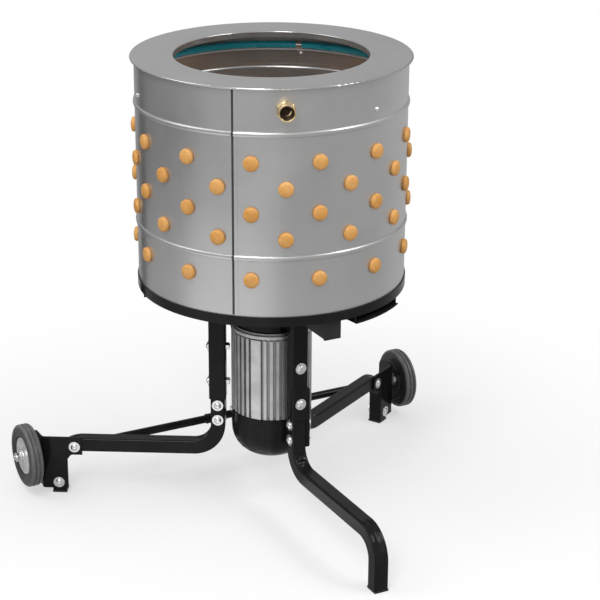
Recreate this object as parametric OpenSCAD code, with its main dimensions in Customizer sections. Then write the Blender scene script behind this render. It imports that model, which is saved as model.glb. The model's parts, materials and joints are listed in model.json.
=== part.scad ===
// Drum poultry plucker: a finger-lined steel barrel over a gear motor, on a three-legged stand
// with two transport wheels. Units are millimetres, +Z is up and the floor is at z = 0.

/* [Barrel] */
// Outer diameter of the barrel
barrel_d = 500; // [490:1:510]
// Height of the barrel from the pan floor to the lid
barrel_h = 430; // [420:1:450]
// Thickness of the barrel sheet
barrel_wall = 1.5; // [1:0.1:2]
// Height of the lower bead above the pan floor
bead_low = 124; // [106:1:138]
// Distance of the upper bead below the top of the barrel
bead_high = 82; // [75:1:100]
// How far a bead stands out of the wall
bead_out = 3; // [2:0.5:4]
// Height of a bead along the wall
bead_h = 10; // [8:1:12]
// Width of the upright seam
seam_w = 6; // [4:1:8]
// How far the seam stands out of the wall
seam_t = 0.8; // [0.5:0.1:1.2]
// Direction of the seam around the barrel, in degrees
seam_angle = -132; // [-134:1:-130]

/* [Lid] */
// Outer diameter of the lid ring
lid_d = 515; // [510:1:525]
// Diameter of the mouth
mouth_d = 357; // [330:1:380]
// Thickness of the lid sheet
lid_t = 1.5; // [1:0.1:2]
// Wire diameter of the rolled edges
roll_d = 4; // [3:0.5:5]
// Depth of the turned-down lip around the mouth
lip_h = 10; // [8:1:16]
// Depth of the collar that sits inside the barrel
collar_h = 14; // [8:1:18]

/* [Fingers] */
// Diameter of a finger's head
head_d = 28; // [26:1:30]
// Thickness of a finger's head
head_t = 9; // [5:0.5:10]
// Diameter of the neck that sits in the sheet
neck_d = 19; // [17:1:20]
// Diameter of the shoulder inside the sheet
shoulder_d = 25; // [24:1:26]
// Diameter of the tip
tip_d = 13; // [10:1:15]
// Length of a finger inside the sheet
finger_len = 80; // [70:1:82]
// Ribs along a finger
rib_count = 5; // [4:1:7]
// Fingers in each row of the barrel
row_fingers = 13; // [11:1:13]
// Height of the top row above the pan floor
row_top = 297; // [294:1:310]
// Distance between the upper rows
row_pitch = 46; // [44:1:47]
// Upper rows
row_count = 4; // [3:1:4]
// Height of the lowest row above the pan floor
row_low = 84; // [82:1:90]
// Direction of the first finger in the top row, in degrees
row_angle = -97.4; // [-99:0.1:-96]

/* [Water] */
// Distance of the inlet and the spray hose below the top of the barrel
inlet_h = 38; // [32:1:44]
// Direction of the inlet, in degrees
inlet_angle = -111.4; // [-113:0.1:-110]
// Bore diameter of the inlet socket
inlet_bore = 24.2; // [22:0.1:25]
// Depth of the inlet socket
inlet_depth = 14; // [10:1:16]
// Outer diameter of the spray hose
hose_d = 13; // [11:0.5:14]
// Wall of the spray hose
hose_wall = 2; // [1.5:0.1:2.5]
// Spray holes around the hose
spray_count = 18; // [12:1:24]
// Clips that hold the hose
clip_count = 3; // [3:1:4]
// Direction of the first clip, in degrees
clip_angle = -70; // [-74:1:-66]
// Width of a clip
clip_w = 12; // [10:1:14]

/* [Pan] */
// Height of the pan's underside above the floor
stand_h = 457; // [450:1:480]
// Thickness of the pan floor
pan_t = 3; // [2.5:0.1:4]
// Height of the rim around the barrel, above the pan floor
rim_h = 15; // [12:1:20]
// Thickness of the rim
rim_t = 2; // [1.5:0.1:3]
// Direction of the middle of the feather outlet, in degrees
outlet_angle = -66; // [-68:1:-64]
// Angle that the feather outlet spans
outlet_span = 26; // [20:1:28]
// Inner radius of the feather outlet
outlet_r = 175; // [165:1:185]
// Depth of the chute below the pan
chute_drop = 12; // [10:1:20]
// How far the chute's lip stands out of the rim
chute_lip = 4; // [2:1:8]
// Sheet of the chute
chute_t = 2; // [1.5:0.1:2.5]

/* [Rotor plate] */
// Diameter of the rotor plate
plate_d = 468; // [450:1:476]
// Thickness of the rotor plate
plate_t = 3; // [2:0.1:4]
// Height of the plate's underside above the pan floor
plate_lift = 54; // [52:1:56]
// Fingers in the inner, middle and outer rings
ring_fingers = [5, 9, 13];
// Radii of the inner, middle and outer rings
ring_r = [62, 105, 150];
// Diameter of the plate hub
hub_d = 88; // [84:1:90]
// Thickness of the hub flange
hub_t = 8; // [6:1:10]
// Diameter of the hub boss
boss_d = 44; // [40:1:46]
// Length of the hub boss
boss_len = 29; // [24:1:32]
// Diameter of the output shaft
shaft_d = 25; // [22:1:26]
// Height of a feather wiper under the plate
wiper_h = 44; // [38:1:45]
// Thickness of a feather wiper
wiper_t = 3; // [2:0.5:4]

/* [Gearbox] */
// Outer diameter of the gearbox
gearbox_d = 140; // [138:1:144]
// Height of the gearbox
gearbox_h = 86; // [86:1:92]
// Diameter of the gearbox flange
flange_d = 172; // [170:1:173]
// Thickness of the gearbox flange
flange_t = 8; // [6:1:10]
// Gear module
gear_m = 1.25; // [1.2:0.01:1.25]
// Teeth of the sun gear
sun_z = 18; // [18:3:18]
// Teeth of a planet gear
planet_z = 27; // [27:3:27]
// Planet gears
planet_count = 3; // [3:1:3]
// Width of the gears
gear_w = 16; // [12:1:16]
// Diameter of a planet pin
pin_d = 10; // [8:1:12]

/* [Motor] */
// Outer diameter over the fins
motor_d = 155; // [150:1:156]
// Length of the finned housing
motor_len = 165; // [160:1:175]
// Cooling fins around the housing
fin_count = 40; // [36:2:44]
// Depth of a fin
fin_depth = 6; // [4:1:7]
// Width of a fin
fin_w = 6; // [3:0.5:7]
// Gap between the fins and the top shield
fin_gap = 3; // [2:0.5:5]
// Bore of the housing
motor_bore = 120; // [116:1:122]
// Thickness of the end shields
shield_t = 10; // [9:1:12]
// Thickness of the top shield's rim
shield_rim = 6; // [4:1:8]
// Length of the fan cover
cover_len = 95; // [80:1:100]
// Radius of the fan cover's round bottom edge
cover_round = 55; // [45:1:58]
// Sheet of the fan cover
cover_t = 1.5; // [1.2:0.1:2]
// Diameter of the motor shaft
motor_shaft_d = 20; // [18:1:20]
// Fan blades
blade_count = 8; // [6:1:10]

/* [Terminal box] */
// Direction of the terminal box, in degrees
box_angle = 81; // [75:1:105]
// Width of the terminal box
box_w = 70; // [62:1:80]
// Depth of the terminal box
box_d = 42; // [36:1:50]
// Height of the terminal box
box_h = 78; // [72:1:90]
// Wall of the terminal box
box_wall = 3; // [2.5:0.1:4]
// Cable hole of the gland
gland_bore = 9; // [7:0.5:10]

/* [Stand] */
// Side of a square post
post_w = 33; // [32:0.5:35]
// Wall of a post
post_wall = 2.2; // [1.8:0.1:2.2]
// Distance of the posts from the barrel axis
post_r = 104; // [103:1:110]
// Length of a post below its beam
post_len = 209; // [200:1:215]
// Height of the beam on top of a post
beam_h = 38; // [34:1:40]
// Reach of a beam from the barrel axis
beam_r = 238; // [225:1:244]
// Side of a square leg
leg_w = 28; // [26:0.5:28]
// Wall of a leg
leg_wall = 2; // [1.6:0.1:2.5]
// Height of a leg's arm above the floor
arm_z = 104; // [100:1:108]
// Middle radius of a leg's bends
bend_r = 48; // [44:1:50]
// Distance of the feet from the barrel axis
foot_r = 420; // [400:1:440]
// How far a leg goes up inside its post
leg_in = 128; // [120:1:140]
// Thickness of the tab beside a post
tab_t = 5; // [4:0.5:6]
// Diameter of the stand's bolts
bolt_d = 8; // [6:0.5:8]
// Diameter of the brace between the rear legs
brace_d = 16; // [10:1:18]
// Distance of the brace behind the barrel axis
brace_y = 166; // [150:1:180]

/* [Wheels] */
// Diameter of a wheel
wheel_d = 125; // [115:1:130]
// Width of a wheel
wheel_w = 26; // [22:1:30]
// Height of the wheel axle above the floor
axle_z = 80; // [76:1:84]
// Diameter of a wheel axle
axle_d = 12; // [10:1:14]
// Distance of the axle behind the foot
axle_back = 19; // [16:1:22]
// Thickness of a wheel bracket
bracket_t = 4; // [3:0.5:5]
// Sideways distance of the bracket's flange from the foot
flange_out = 34; // [32:1:40]
// Depth of the tread grooves
groove_d = 3; // [2:0.5:4]

/* [Hidden] */
$fn = 96;

// Clearances: pieces that slide together, pieces pushed together, running fits, screw holes
slip = 0.3;
press = 0.05;
run = 0.05;
hole_gap = 0.2;
// A cut reaches this far past the face that it opens
past = 1;

// Colours
steel = "silver";
black = "#1c1c1e";
orange = "#dfa45c";

// Levels, from the pan up and from the pan down
floor_z = stand_h + pan_t;
barrel_top = floor_z + barrel_h;
plate_z = floor_z + plate_lift;
beam_z = stand_h - beam_h;
post_z = beam_z - post_len;
leg_top = post_z + leg_in;
gearbox_z = stand_h - gearbox_h;
housing_top = gearbox_z - shield_t;
housing_z = housing_top - motor_len;
cover_z = housing_z - cover_len;

// Barrel
barrel_r = barrel_d / 2;
inner_r = barrel_r - barrel_wall;
rim_r = barrel_r + slip + rim_t;
hose_r = hose_d / 2;
clip_t = 1.3;
hose_ring_r = inner_r - hose_r - clip_t - slip - hole_gap;
hose_z = barrel_top - inlet_h;
tee_r = hose_r + clip_t;
tee_half = 14;
barb_len = 9;
barb_r = hose_r - hose_wall - sag(hose_ring_r, tee_half + barb_len) - hole_gap;
barb_bore_r = 2;
tail_r = 7;
clip_tab = 26;
clip_screw_d = 5;
clip_screw_drop = 20;
clip_screw_z = hose_z - clip_screw_drop;

// Fingers
column_step = 360 / row_fingers;
// Highest row whose heads stay clear of the upper bead
row_limit = barrel_h - bead_high - bead_h / 2 - head_d / 2 - past;
upper_rows = [for (i = [0 : row_count - 1]) [row_top - i * row_pitch, i % 2]];
rows = concat([for (row = upper_rows) if (row[0] < row_limit) row], [[row_low, 0]]);
finger_hole_r = neck_d / 2 + slip;
wall_grip = barrel_wall + sag(inner_r, shoulder_d / 2) + 2 * press;
plate_grip = plate_t + 2 * press;

// Outlet and chute
chute_side = 0.6;
chute_half = outlet_span / 2 + 1.5;
outlet_out_r = barrel_r - 6;
lug_span = 5;
lug_in_r = 226;
lug_out_r = 247;
lug_bolt_r = 236;
chute_bolt_d = 6;

// Rotor plate and hub
shaft_r = shaft_d / 2;
hub_bolt_d = 6;
hub_bolt_r = (hub_d / 2 + boss_d / 2) / 2 + 1;
hub_bolt_count = 6;
washer_t = 3;
nut_h = 15;
shaft_top = plate_z + plate_t + washer_t + nut_h - 3;
wiper_in = 92;
wiper_out = plate_d / 2 - 9;

// Gear train: sun on the motor shaft, planets on the carrier, fixed ring
ring_z = sun_z + 2 * planet_z;
planet_r = gear_m * (sun_z + planet_z) / 2;
pressure_angle = 20;
backlash = 0.18;
gear_z = gearbox_z + 24;
carrier_z = gear_z + gear_w + 0.5;
carrier_t = 10;
carrier_r = planet_r + pin_d;
ring_gear_r = gear_m * ring_z / 2 + 17;
ring_gear_top = gear_z + gear_w + 2;
bearing_z = carrier_z + carrier_t + 2.5;
bearing_h = 12;
bearing_r = shaft_r + 13.5;
seal_r = shaft_r + 7.5;
seal_z = bearing_z + 2 * bearing_h + 1;
pin_head = 4;
gearbox_bolt_r = (gearbox_d + flange_d) / 4;
gearbox_bolt_count = 6;

// Motor
motor_r = motor_d / 2;
bore_r = motor_bore / 2;
motor_shaft_r = motor_shaft_d / 2;
motor_bearing_h = 12;
motor_bearing_r = motor_shaft_r + 11;
boss_r = motor_bearing_r + 9;
top_bearing_z = housing_top - motor_bearing_h - 2;
low_bearing_z = housing_z + 4;
spigot_h = 6;
rim_out = 1;
shield_step = 4;
core_step = 0.5;
core_r = motor_r - fin_depth - core_step;
low_shield_r = motor_r - cover_t - slip;
stator_z = housing_z + 28;
stator_h = motor_len - 60;
stator_bore_r = bore_r - 23.5;
air_gap = 0.5;
winding_h = 14;
sun_seat_r = 6.5;
fan_z = cover_z + 35;
fan_h = 24;
fan_r = motor_r - cover_t - 12;
cover_screw_d = 5;
cover_screw_count = 3;
cover_screw_angle = 40;
cover_screw_z = housing_z - shield_t / 2;
fin_step = 360 / fin_count;
// The plain strip lies midway between two fins and takes both in
flat_near = 138;
flat_angle = -(floor(flat_near / fin_step) + 0.5) * fin_step;
flat_w = 20;
pad_w = 56;
pad_h = 70;
pad_out = motor_r + 1.5;
box_up = 88;
box_mid = housing_z + box_up;
gland_r = 8;

// Stand
front = -90;
left = 150;
right = 30;
leg_angles = [front, left, right];
// Side of each leg that carries its bolt heads
head_side = [-1, 1, -1];
post_bolt_up = [33, 106];
post_bolt_z = [for (up = post_bolt_up) post_z + up];
leg_bolt_down = [14, 45];
leg_bolt_z = [for (down = leg_bolt_down) post_z - down];
tab_down = 61;
tab_z = post_z - tab_down;
tab_h = 122;
tab_pad = (post_w - leg_w) / 2;
plug_t = 4;
plug_in = 14;
bend_top = arm_z + bend_r;
bend_out = foot_r - bend_r;
brace_z = arm_z + 5;
collar_x = 58;
collar_d = 20;
collar_w = 12;
pan_bolt_r = [post_r + 36, beam_r - 23];
washer_r = 11;

// Wheels: the rear feet carry them, on brackets whose flanges stand square to the axle
foot_x = foot_r * cos(right);
foot_y = foot_r * sin(right);
flange_x = foot_x + flange_out;
axle_y = foot_y + axle_back;
spacer_len = 10.5;
spacer_r = 10;
wheel_in_x = flange_x + bracket_t / 2 + spacer_len + slip;
wheel_x = wheel_in_x + wheel_w / 2;
plate_mid = leg_w / 2 + bracket_t / 2;
fold_s = (flange_x - plate_mid * sin(right)) / cos(right);
fold_y = fold_s * sin(right) - plate_mid * cos(right);
flange_w = axle_back + 32;
flange_z = 15;
flange_round = 18;
fold_r = 6;
ear_round = 12;
ear_in = foot_r - 48;
plate_in = foot_r - 18;
plate_low = 12;
plate_high = arm_z + 18;
flange_h = plate_high - flange_z - past;
ear_low = arm_z - 19;
bracket_bolts_at = [[foot_r - 33, arm_z - 2], [foot_r, 25]];
hub_r = 14;
disc_r = wheel_d * 0.3;
axle_end = 14;
tyre_round = 7;
tread_grooves = [-4, 4];
groove_half = 1.6;

// The axis of the barrel lies behind the middle of the stance
axis_y = (foot_r + leg_w / 2 - axle_y - wheel_d / 2) / 2;

// Rise of a circle over a chord of half width h
function sag(r, h) = r - sqrt(r * r - h * h);
function reverse(list) = [for (i = [len(list) - 1 : -1 : 0]) list[i]];
function polar(r, a) = [r * cos(a), r * sin(a)];

// Line of the barrel wall, moved out by off, with its two beads
function bead(z, off) = [for (a = [-90 : 15 : 90])
    [barrel_r + off + bead_out * cos(a), z + bead_h / 2 * sin(a)]];
function wall_line(off, z0, z1) = concat([[barrel_r + off, z0]], bead(floor_z + bead_low, off),
    bead(barrel_top - bead_high, off), [[barrel_r + off, z1]]);

// Involute gear outline; play is taken off each tooth at the pitch circle
function involute(a) = tan(a) - a * PI / 180;
function half_tooth(r, z, play) =
    let (pitch = gear_m * z / 2, base = pitch * cos(pressure_angle))
    90 / z - play / pitch * 90 / PI
        + (involute(pressure_angle) - involute(acos(min(1, base / r)))) * 180 / PI;
function tooth(z, root, tip, play) =
    let (base = gear_m * z / 2 * cos(pressure_angle), start = max(root, base))
    concat([[root, half_tooth(start, z, play)]],
        [for (i = [0 : 3]) let (r = start + (tip - start) * (i + 0.5) / 3.5) [r, half_tooth(r, z, play)]]);
function gear_points(z, root, tip, play) = [for (k = [0 : z - 1])
    let (flank = tooth(z, root, tip, play), a = 360 * k / z)
    each concat([for (p = flank) polar(p[0], a - p[1])], [for (p = reverse(flank)) polar(p[0], a + p[1])])];

// Shapes that repeat
module tube(r_out, r_in, z0, z1) {
    difference() {
        translate([0, 0, z0]) cylinder(r = r_out, h = z1 - z0);
        translate([0, 0, z0 - past]) cylinder(r = r_in, h = z1 - z0 + 2 * past);
    }
}

module sector(r0, r1, z0, z1, a0, span) {
    rotate([0, 0, a0]) rotate_extrude(angle = span) translate([r0, z0]) square([r1 - r0, z1 - z0]);
}

module ring_of(count, r, first = 0) {
    for (k = [0 : count - 1]) rotate([0, 0, first + 360 * k / count]) translate([r, 0, 0]) children();
}

// Stands its children on the barrel wall with +Z pointing in
module on_wall(angle, z) {
    rotate([0, 0, angle]) translate([barrel_r + press, 0, z]) rotate([0, -90, 0]) children();
}

// Bolt along +Z with its head below z = 0, a washer, and a nut that starts at grip
module bolt(d, grip, washer = 0) {
    nut_t = 0.8 * d;
    translate([0, 0, -0.2 * d]) cylinder(r = max(washer, 0.95 * d), h = 0.2 * d);
    difference() {
        intersection() {
            translate([0, 0, -0.75 * d]) cylinder(r = 0.85 * d, h = 0.6 * d);
            translate([0, 0, 0.45 * d]) sphere(r = 1.2 * d);
        }
        translate([0, 0, -d]) cylinder(r = 0.32 * d, h = 0.6 * d, $fn = 6);
    }
    cylinder(r = d / 2, h = grip + nut_t + 0.15 * d);
    translate([0, 0, grip]) cylinder(r = 0.92 * d, h = nut_t, $fn = 6);
}

// Hex bolt along +Z with its head below z = 0 and a nut that starts at grip
module hex_bolt(d, grip) {
    translate([0, 0, -0.7 * d]) cylinder(r = 0.92 * d, h = 0.7 * d, $fn = 6);
    cylinder(r = d / 2, h = grip + d);
    translate([0, 0, grip]) cylinder(r = 0.92 * d, h = 0.8 * d, $fn = 6);
}

// Finger along +Z: head outside the sheet, neck of length grip, shoulder, ribs and round tip
module finger(grip) {
    head_r = head_d / 2;
    edge = 4;
    body_z = grip + 6;
    rib_pitch = (finger_len - 6 - body_z) / rib_count;
    function body_r(i) = shoulder_d / 2 - 1 + (tip_d - shoulder_d + 2) / 2 * i / rib_count;
    rotate_extrude() polygon(concat(
        [[0, -head_t], [head_r - edge, -head_t]],
        [for (a = [-60, -30, 0]) [head_r - edge + edge * cos(a), edge - head_t + edge * sin(a)]],
        [[head_r, 0], [neck_d / 2, 0], [neck_d / 2, grip]],
        [[shoulder_d / 2, grip], [shoulder_d / 2, body_z]],
        [for (i = [0 : rib_count - 1]) each [
            [body_r(i) - 1.4, body_z + i * rib_pitch + 1],
            [body_r(i), body_z + i * rib_pitch + 0.4 * rib_pitch],
            [body_r(i), body_z + i * rib_pitch + 0.75 * rib_pitch]]],
        [[tip_d / 2 - 1, finger_len - 5], [tip_d / 2 - 1.6, finger_len - 2], [tip_d / 4, finger_len],
            [0, finger_len]]));
}

module finger_rows() {
    for (row = rows, k = [0 : row_fingers - 1])
        on_wall(row_angle + column_step * (k - row[1] / 2), floor_z + row[0]) children();
}

// Barrel

module barrel_shell() {
    color(steel) difference() {
        union() {
            rotate_extrude() polygon(concat(wall_line(0, floor_z, barrel_top),
                reverse(wall_line(-barrel_wall, floor_z, barrel_top))));
            rotate([0, 0, seam_angle]) rotate_extrude(angle = seam_w / barrel_r * 180 / PI)
                polygon(concat(wall_line(seam_t, floor_z + rim_h + past, barrel_top),
                    reverse(wall_line(-barrel_wall / 2, floor_z + rim_h + past, barrel_top))));
        }
        finger_rows() translate([0, 0, -2 * past]) cylinder(r = finger_hole_r, h = barrel_wall + 6 * past);
        on_wall(inlet_angle, hose_z) translate([0, 0, -2 * past])
            cylinder(r = tail_r + slip, h = barrel_wall + 6 * past);
        for (k = [0 : clip_count - 1]) on_wall(clip_angle + 360 * k / clip_count, clip_screw_z)
            translate([0, 0, -2 * past]) cylinder(d = clip_screw_d + hole_gap, h = barrel_wall + 6 * past);
    }
}

module barrel_lid() {
    roll_r = roll_d / 2;
    lid_r = lid_d / 2;
    mouth_r = mouth_d / 2;
    collar_r = inner_r - slip;
    color(steel) {
        tube(lid_r - roll_r, mouth_r + roll_r, barrel_top, barrel_top + lid_t);
        rotate_extrude() translate([lid_r - roll_r, barrel_top + lid_t - roll_r]) circle(r = roll_r);
        rotate_extrude() translate([mouth_r + roll_r, barrel_top + lid_t - roll_r]) circle(r = roll_r);
        tube(mouth_r + lid_t + 0.5, mouth_r + 0.5, barrel_top - lip_h, barrel_top);
        tube(collar_r, collar_r - lid_t, barrel_top - collar_h, barrel_top + lid_t / 2);
    }
}

module barrel_fingers() {
    color(orange) finger_rows() finger(wall_grip);
}

// Water supply

module inlet_fitting() {
    collar_r = inlet_bore / 2 + 3.6;
    color("goldenrod") on_wall(inlet_angle, hose_z) difference() {
        union() {
            translate([0, 0, -8]) cylinder(r = collar_r + 2.5, h = 8, $fn = 6);
            translate([0, 0, -10 - inlet_depth]) cylinder(r = collar_r, h = inlet_depth + 5);
            cylinder(r = tail_r, h = barrel_r - hose_ring_r - 1);
        }
        translate([0, 0, -10 - inlet_depth - past]) cylinder(d = inlet_bore, h = inlet_depth + past);
        translate([0, 0, -12]) cylinder(r = tail_r - 2, h = barrel_r - hose_ring_r + 20);
    }
}

module hose_tee() {
    socket_r = tail_r + 3;
    face = inner_r - sag(inner_r, socket_r) - press;
    color("dimgray") rotate([0, 0, inlet_angle]) translate([0, 0, hose_z]) difference() {
        union() {
            translate([hose_ring_r, 0, 0]) rotate([0, 90, 0])
                cylinder(r = socket_r, h = face - hose_ring_r);
            translate([hose_ring_r, -tee_half, 0]) rotate([-90, 0, 0])
                cylinder(r = tee_r, h = 2 * tee_half);
            translate([hose_ring_r, -tee_half - barb_len, 0]) rotate([-90, 0, 0])
                cylinder(r = barb_r, h = 2 * (tee_half + barb_len));
        }
        translate([hose_ring_r, 0, 0]) rotate([0, 90, 0]) cylinder(r = tail_r + press, h = 20);
        translate([hose_ring_r, -tee_half - barb_len - past, 0]) rotate([-90, 0, 0])
            cylinder(r = barb_bore_r, h = 2 * (tee_half + barb_len + past));
    }
}

module spray_hose() {
    open_a = ceil(asin((tee_half + slip) / (hose_ring_r - hose_r)));
    color("teal") difference() {
        rotate([0, 0, inlet_angle + open_a]) rotate_extrude(angle = 360 - 2 * open_a)
            translate([hose_ring_r, hose_z]) circle(r = hose_r);
        rotate([0, 0, inlet_angle + open_a / 2]) rotate_extrude(angle = 360 - open_a)
            translate([hose_ring_r, hose_z]) circle(r = hose_r - hose_wall);
        ring_of(spray_count, hose_ring_r, inlet_angle + 180 / spray_count) translate([0, 0, hose_z])
            rotate([0, -135, 0]) cylinder(r = 1, h = hose_r + past);
    }
}

module hose_clips() {
    ring_in = hose_r + hole_gap;
    face = inner_r - sag(inner_r, clip_w / 2) - press;
    color(steel) ring_of(clip_count, 0, clip_angle) difference() {
        union() {
            translate([hose_ring_r, -clip_w / 2, hose_z]) rotate([-90, 0, 0])
                cylinder(r = ring_in + clip_t, h = clip_w);
            translate([face - clip_t, -clip_w / 2, hose_z - clip_tab]) cube([clip_t, clip_w, clip_tab]);
        }
        translate([hose_ring_r, -clip_w / 2 - past, hose_z]) rotate([-90, 0, 0])
            cylinder(r = ring_in, h = clip_w + 2 * past);
        translate([face - 5, 0, clip_screw_z]) rotate([0, 90, 0])
            cylinder(d = clip_screw_d + hole_gap, h = 10);
    }
}

module clip_screws() {
    grip = barrel_r + press - inner_r + sag(inner_r, clip_w / 2) + press + clip_t;
    color(steel) for (k = [0 : clip_count - 1])
        on_wall(clip_angle + 360 * k / clip_count, clip_screw_z) bolt(clip_screw_d, grip);
}

// Pan

module base_pan() {
    color(black) difference() {
        union() {
            translate([0, 0, stand_h]) cylinder(r = rim_r, h = pan_t);
            tube(rim_r, rim_r - rim_t, floor_z - pan_t / 2, floor_z + rim_h);
        }
        translate([0, 0, stand_h - past]) cylinder(r = shaft_r + 4, h = pan_t + 2 * past);
        sector(outlet_r, outlet_out_r, stand_h - past, floor_z + past,
            outlet_angle - outlet_span / 2, outlet_span);
        ring_of(gearbox_bolt_count, gearbox_bolt_r) translate([0, 0, stand_h - past])
            cylinder(d = bolt_d + hole_gap, h = pan_t + 2 * past);
        for (a = leg_angles, r = pan_bolt_r) rotate([0, 0, a]) translate([r, 0, stand_h - past])
            cylinder(d = bolt_d + hole_gap, h = pan_t + 2 * past);
        chute_bolt_places() translate([0, 0, stand_h - past])
            cylinder(d = chute_bolt_d + hole_gap, h = pan_t + 2 * past);
    }
}

module pan_bolts() {
    sleeve = bolt_d / 2 + 2;
    color("gray") for (a = leg_angles, r = pan_bolt_r) rotate([0, 0, a]) translate([r, 0, 0]) {
        translate([0, 0, floor_z]) cylinder(r = 0.92 * bolt_d, h = 0.65 * bolt_d, $fn = 6);
        translate([0, 0, stand_h - 14]) cylinder(d = bolt_d, h = 14 + pan_t + 1);
        translate([0, 0, stand_h - post_wall - 8]) cylinder(r = sleeve, h = 8);
    }
}

module chute_bolt_places() {
    for (side = [-1, 1]) rotate([0, 0, outlet_angle + side * (chute_half + lug_span / 2)])
        translate([lug_bolt_r, 0, 0]) children();
}

module feather_chute() {
    low = stand_h - chute_drop;
    first = outlet_angle - chute_half;
    color(black) difference() {
        union() {
            sector(outlet_r - 10, rim_r + chute_lip, low, low + chute_t, first, 2 * chute_half);
            sector(outlet_r - 10, outlet_r - 10 + chute_t, low, stand_h, first, 2 * chute_half);
            for (a = [first, first + 2 * chute_half - chute_side])
                sector(outlet_r - 10, rim_r, low, stand_h, a, chute_side);
            for (a = [first - lug_span, first + 2 * chute_half - chute_side])
                sector(lug_in_r, lug_out_r, stand_h - chute_t, stand_h, a, lug_span + chute_side);
        }
        chute_bolt_places() translate([0, 0, low])
            cylinder(d = chute_bolt_d + hole_gap, h = chute_drop + past);
    }
}

module chute_bolts() {
    color(steel) chute_bolt_places() translate([0, 0, stand_h - chute_t])
        hex_bolt(chute_bolt_d, chute_t + pan_t);
}

// Rotor plate

module plate_finger_places() {
    for (i = [0 : len(ring_r) - 1]) ring_of(ring_fingers[i], ring_r[i]) children();
}

module rotor_plate() {
    wiper_step = 360 / ring_fingers[2];
    color(steel) difference() {
        union() {
            translate([0, 0, plate_z]) cylinder(d = plate_d, h = plate_t);
            for (k = [0, 6]) rotate([0, 0, wiper_step * (k + 0.5)])
                translate([wiper_in, -wiper_t / 2, plate_z - wiper_h])
                    cube([wiper_out - wiper_in, wiper_t, wiper_h + plate_t / 2]);
        }
        translate([0, 0, plate_z - past]) cylinder(r = shaft_r + press, h = plate_t + 2 * past);
        plate_finger_places() translate([0, 0, plate_z - past])
            cylinder(r = finger_hole_r, h = plate_t + 2 * past);
        ring_of(hub_bolt_count, hub_bolt_r, 30) translate([0, 0, plate_z - past])
            cylinder(d = hub_bolt_d + hole_gap, h = plate_t + 2 * past);
    }
}

module plate_fingers() {
    color(orange) plate_finger_places() translate([0, 0, plate_z - press]) finger(plate_grip);
}

module rotor_hub() {
    color("dimgray") difference() {
        union() {
            translate([0, 0, plate_z - hub_t]) cylinder(d = hub_d, h = hub_t);
            translate([0, 0, plate_z - hub_t - boss_len]) cylinder(d = boss_d, h = boss_len + hub_t / 2);
        }
        translate([0, 0, plate_z - hub_t - boss_len - past])
            cylinder(r = shaft_r + press, h = hub_t + boss_len + 2 * past);
        ring_of(hub_bolt_count, hub_bolt_r, 30) translate([0, 0, plate_z - hub_t - past])
            cylinder(d = hub_bolt_d + hole_gap, h = hub_t + 2 * past);
    }
}

module hub_bolts() {
    color(steel) ring_of(hub_bolt_count, hub_bolt_r, 30) translate([0, 0, plate_z + plate_t])
        rotate([180, 0, 0]) hex_bolt(hub_bolt_d, plate_t + hub_t);
}

module rotor_nut() {
    low = plate_z + plate_t;
    color(steel) difference() {
        union() {
            translate([0, 0, low]) cylinder(r = shaft_r + 10, h = washer_t);
            translate([0, 0, low + washer_t]) cylinder(r = shaft_r + 8, h = nut_h, $fn = 6);
            translate([0, 0, low + washer_t + nut_h]) cylinder(r1 = shaft_r + 4, r2 = shaft_r - 2, h = 5);
        }
        translate([0, 0, low - past]) cylinder(r = shaft_r + press, h = shaft_top - low + past + hole_gap);
    }
}

// Gearbox

module planet_carrier() {
    color("gray") {
        translate([0, 0, carrier_z]) cylinder(r = carrier_r, h = carrier_t);
        translate([0, 0, carrier_z]) cylinder(r = shaft_r + 4, h = bearing_z - slip - carrier_z);
        translate([0, 0, carrier_z]) cylinder(r = shaft_r, h = shaft_top - carrier_z);
        ring_of(planet_count, planet_r) translate([0, 0, gear_z - pin_head - 0.5]) {
            cylinder(d = pin_d, h = carrier_z - gear_z + pin_head + 1.5);
            cylinder(d = pin_d + 6, h = pin_head);
        }
    }
}

module planet_gear(index) {
    pitch = gear_m * planet_z / 2;
    color("gray") rotate([0, 0, 360 * index / planet_count]) translate([planet_r, 0, gear_z]) difference() {
        linear_extrude(gear_w)
            polygon(gear_points(planet_z, pitch - 1.25 * gear_m, pitch + gear_m, backlash));
        translate([0, 0, -past]) cylinder(r = pin_d / 2 + run, h = gear_w + 2 * past);
    }
}

module planet_gear_1() { planet_gear(0); }
module planet_gear_2() { planet_gear(1); }
module planet_gear_3() { planet_gear(2); }

module sun_gear() {
    pitch = gear_m * sun_z / 2;
    color("gray") translate([0, 0, gear_z - past]) difference() {
        linear_extrude(gear_w + past)
            polygon(gear_points(sun_z, pitch - 1.25 * gear_m, pitch + gear_m, backlash));
        translate([0, 0, -past]) cylinder(r = sun_seat_r + press, h = gear_w + 3 * past);
    }
}

module ring_gear() {
    pitch = gear_m * ring_z / 2;
    color("dimgray") difference() {
        translate([0, 0, gear_z - 2]) cylinder(r = ring_gear_r - press, h = ring_gear_top - gear_z + 2);
        translate([0, 0, gear_z - 2 - past]) linear_extrude(ring_gear_top - gear_z + 2 + 2 * past)
            polygon(gear_points(ring_z, pitch - gear_m, pitch + 1.25 * gear_m, -backlash));
    }
}

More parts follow.
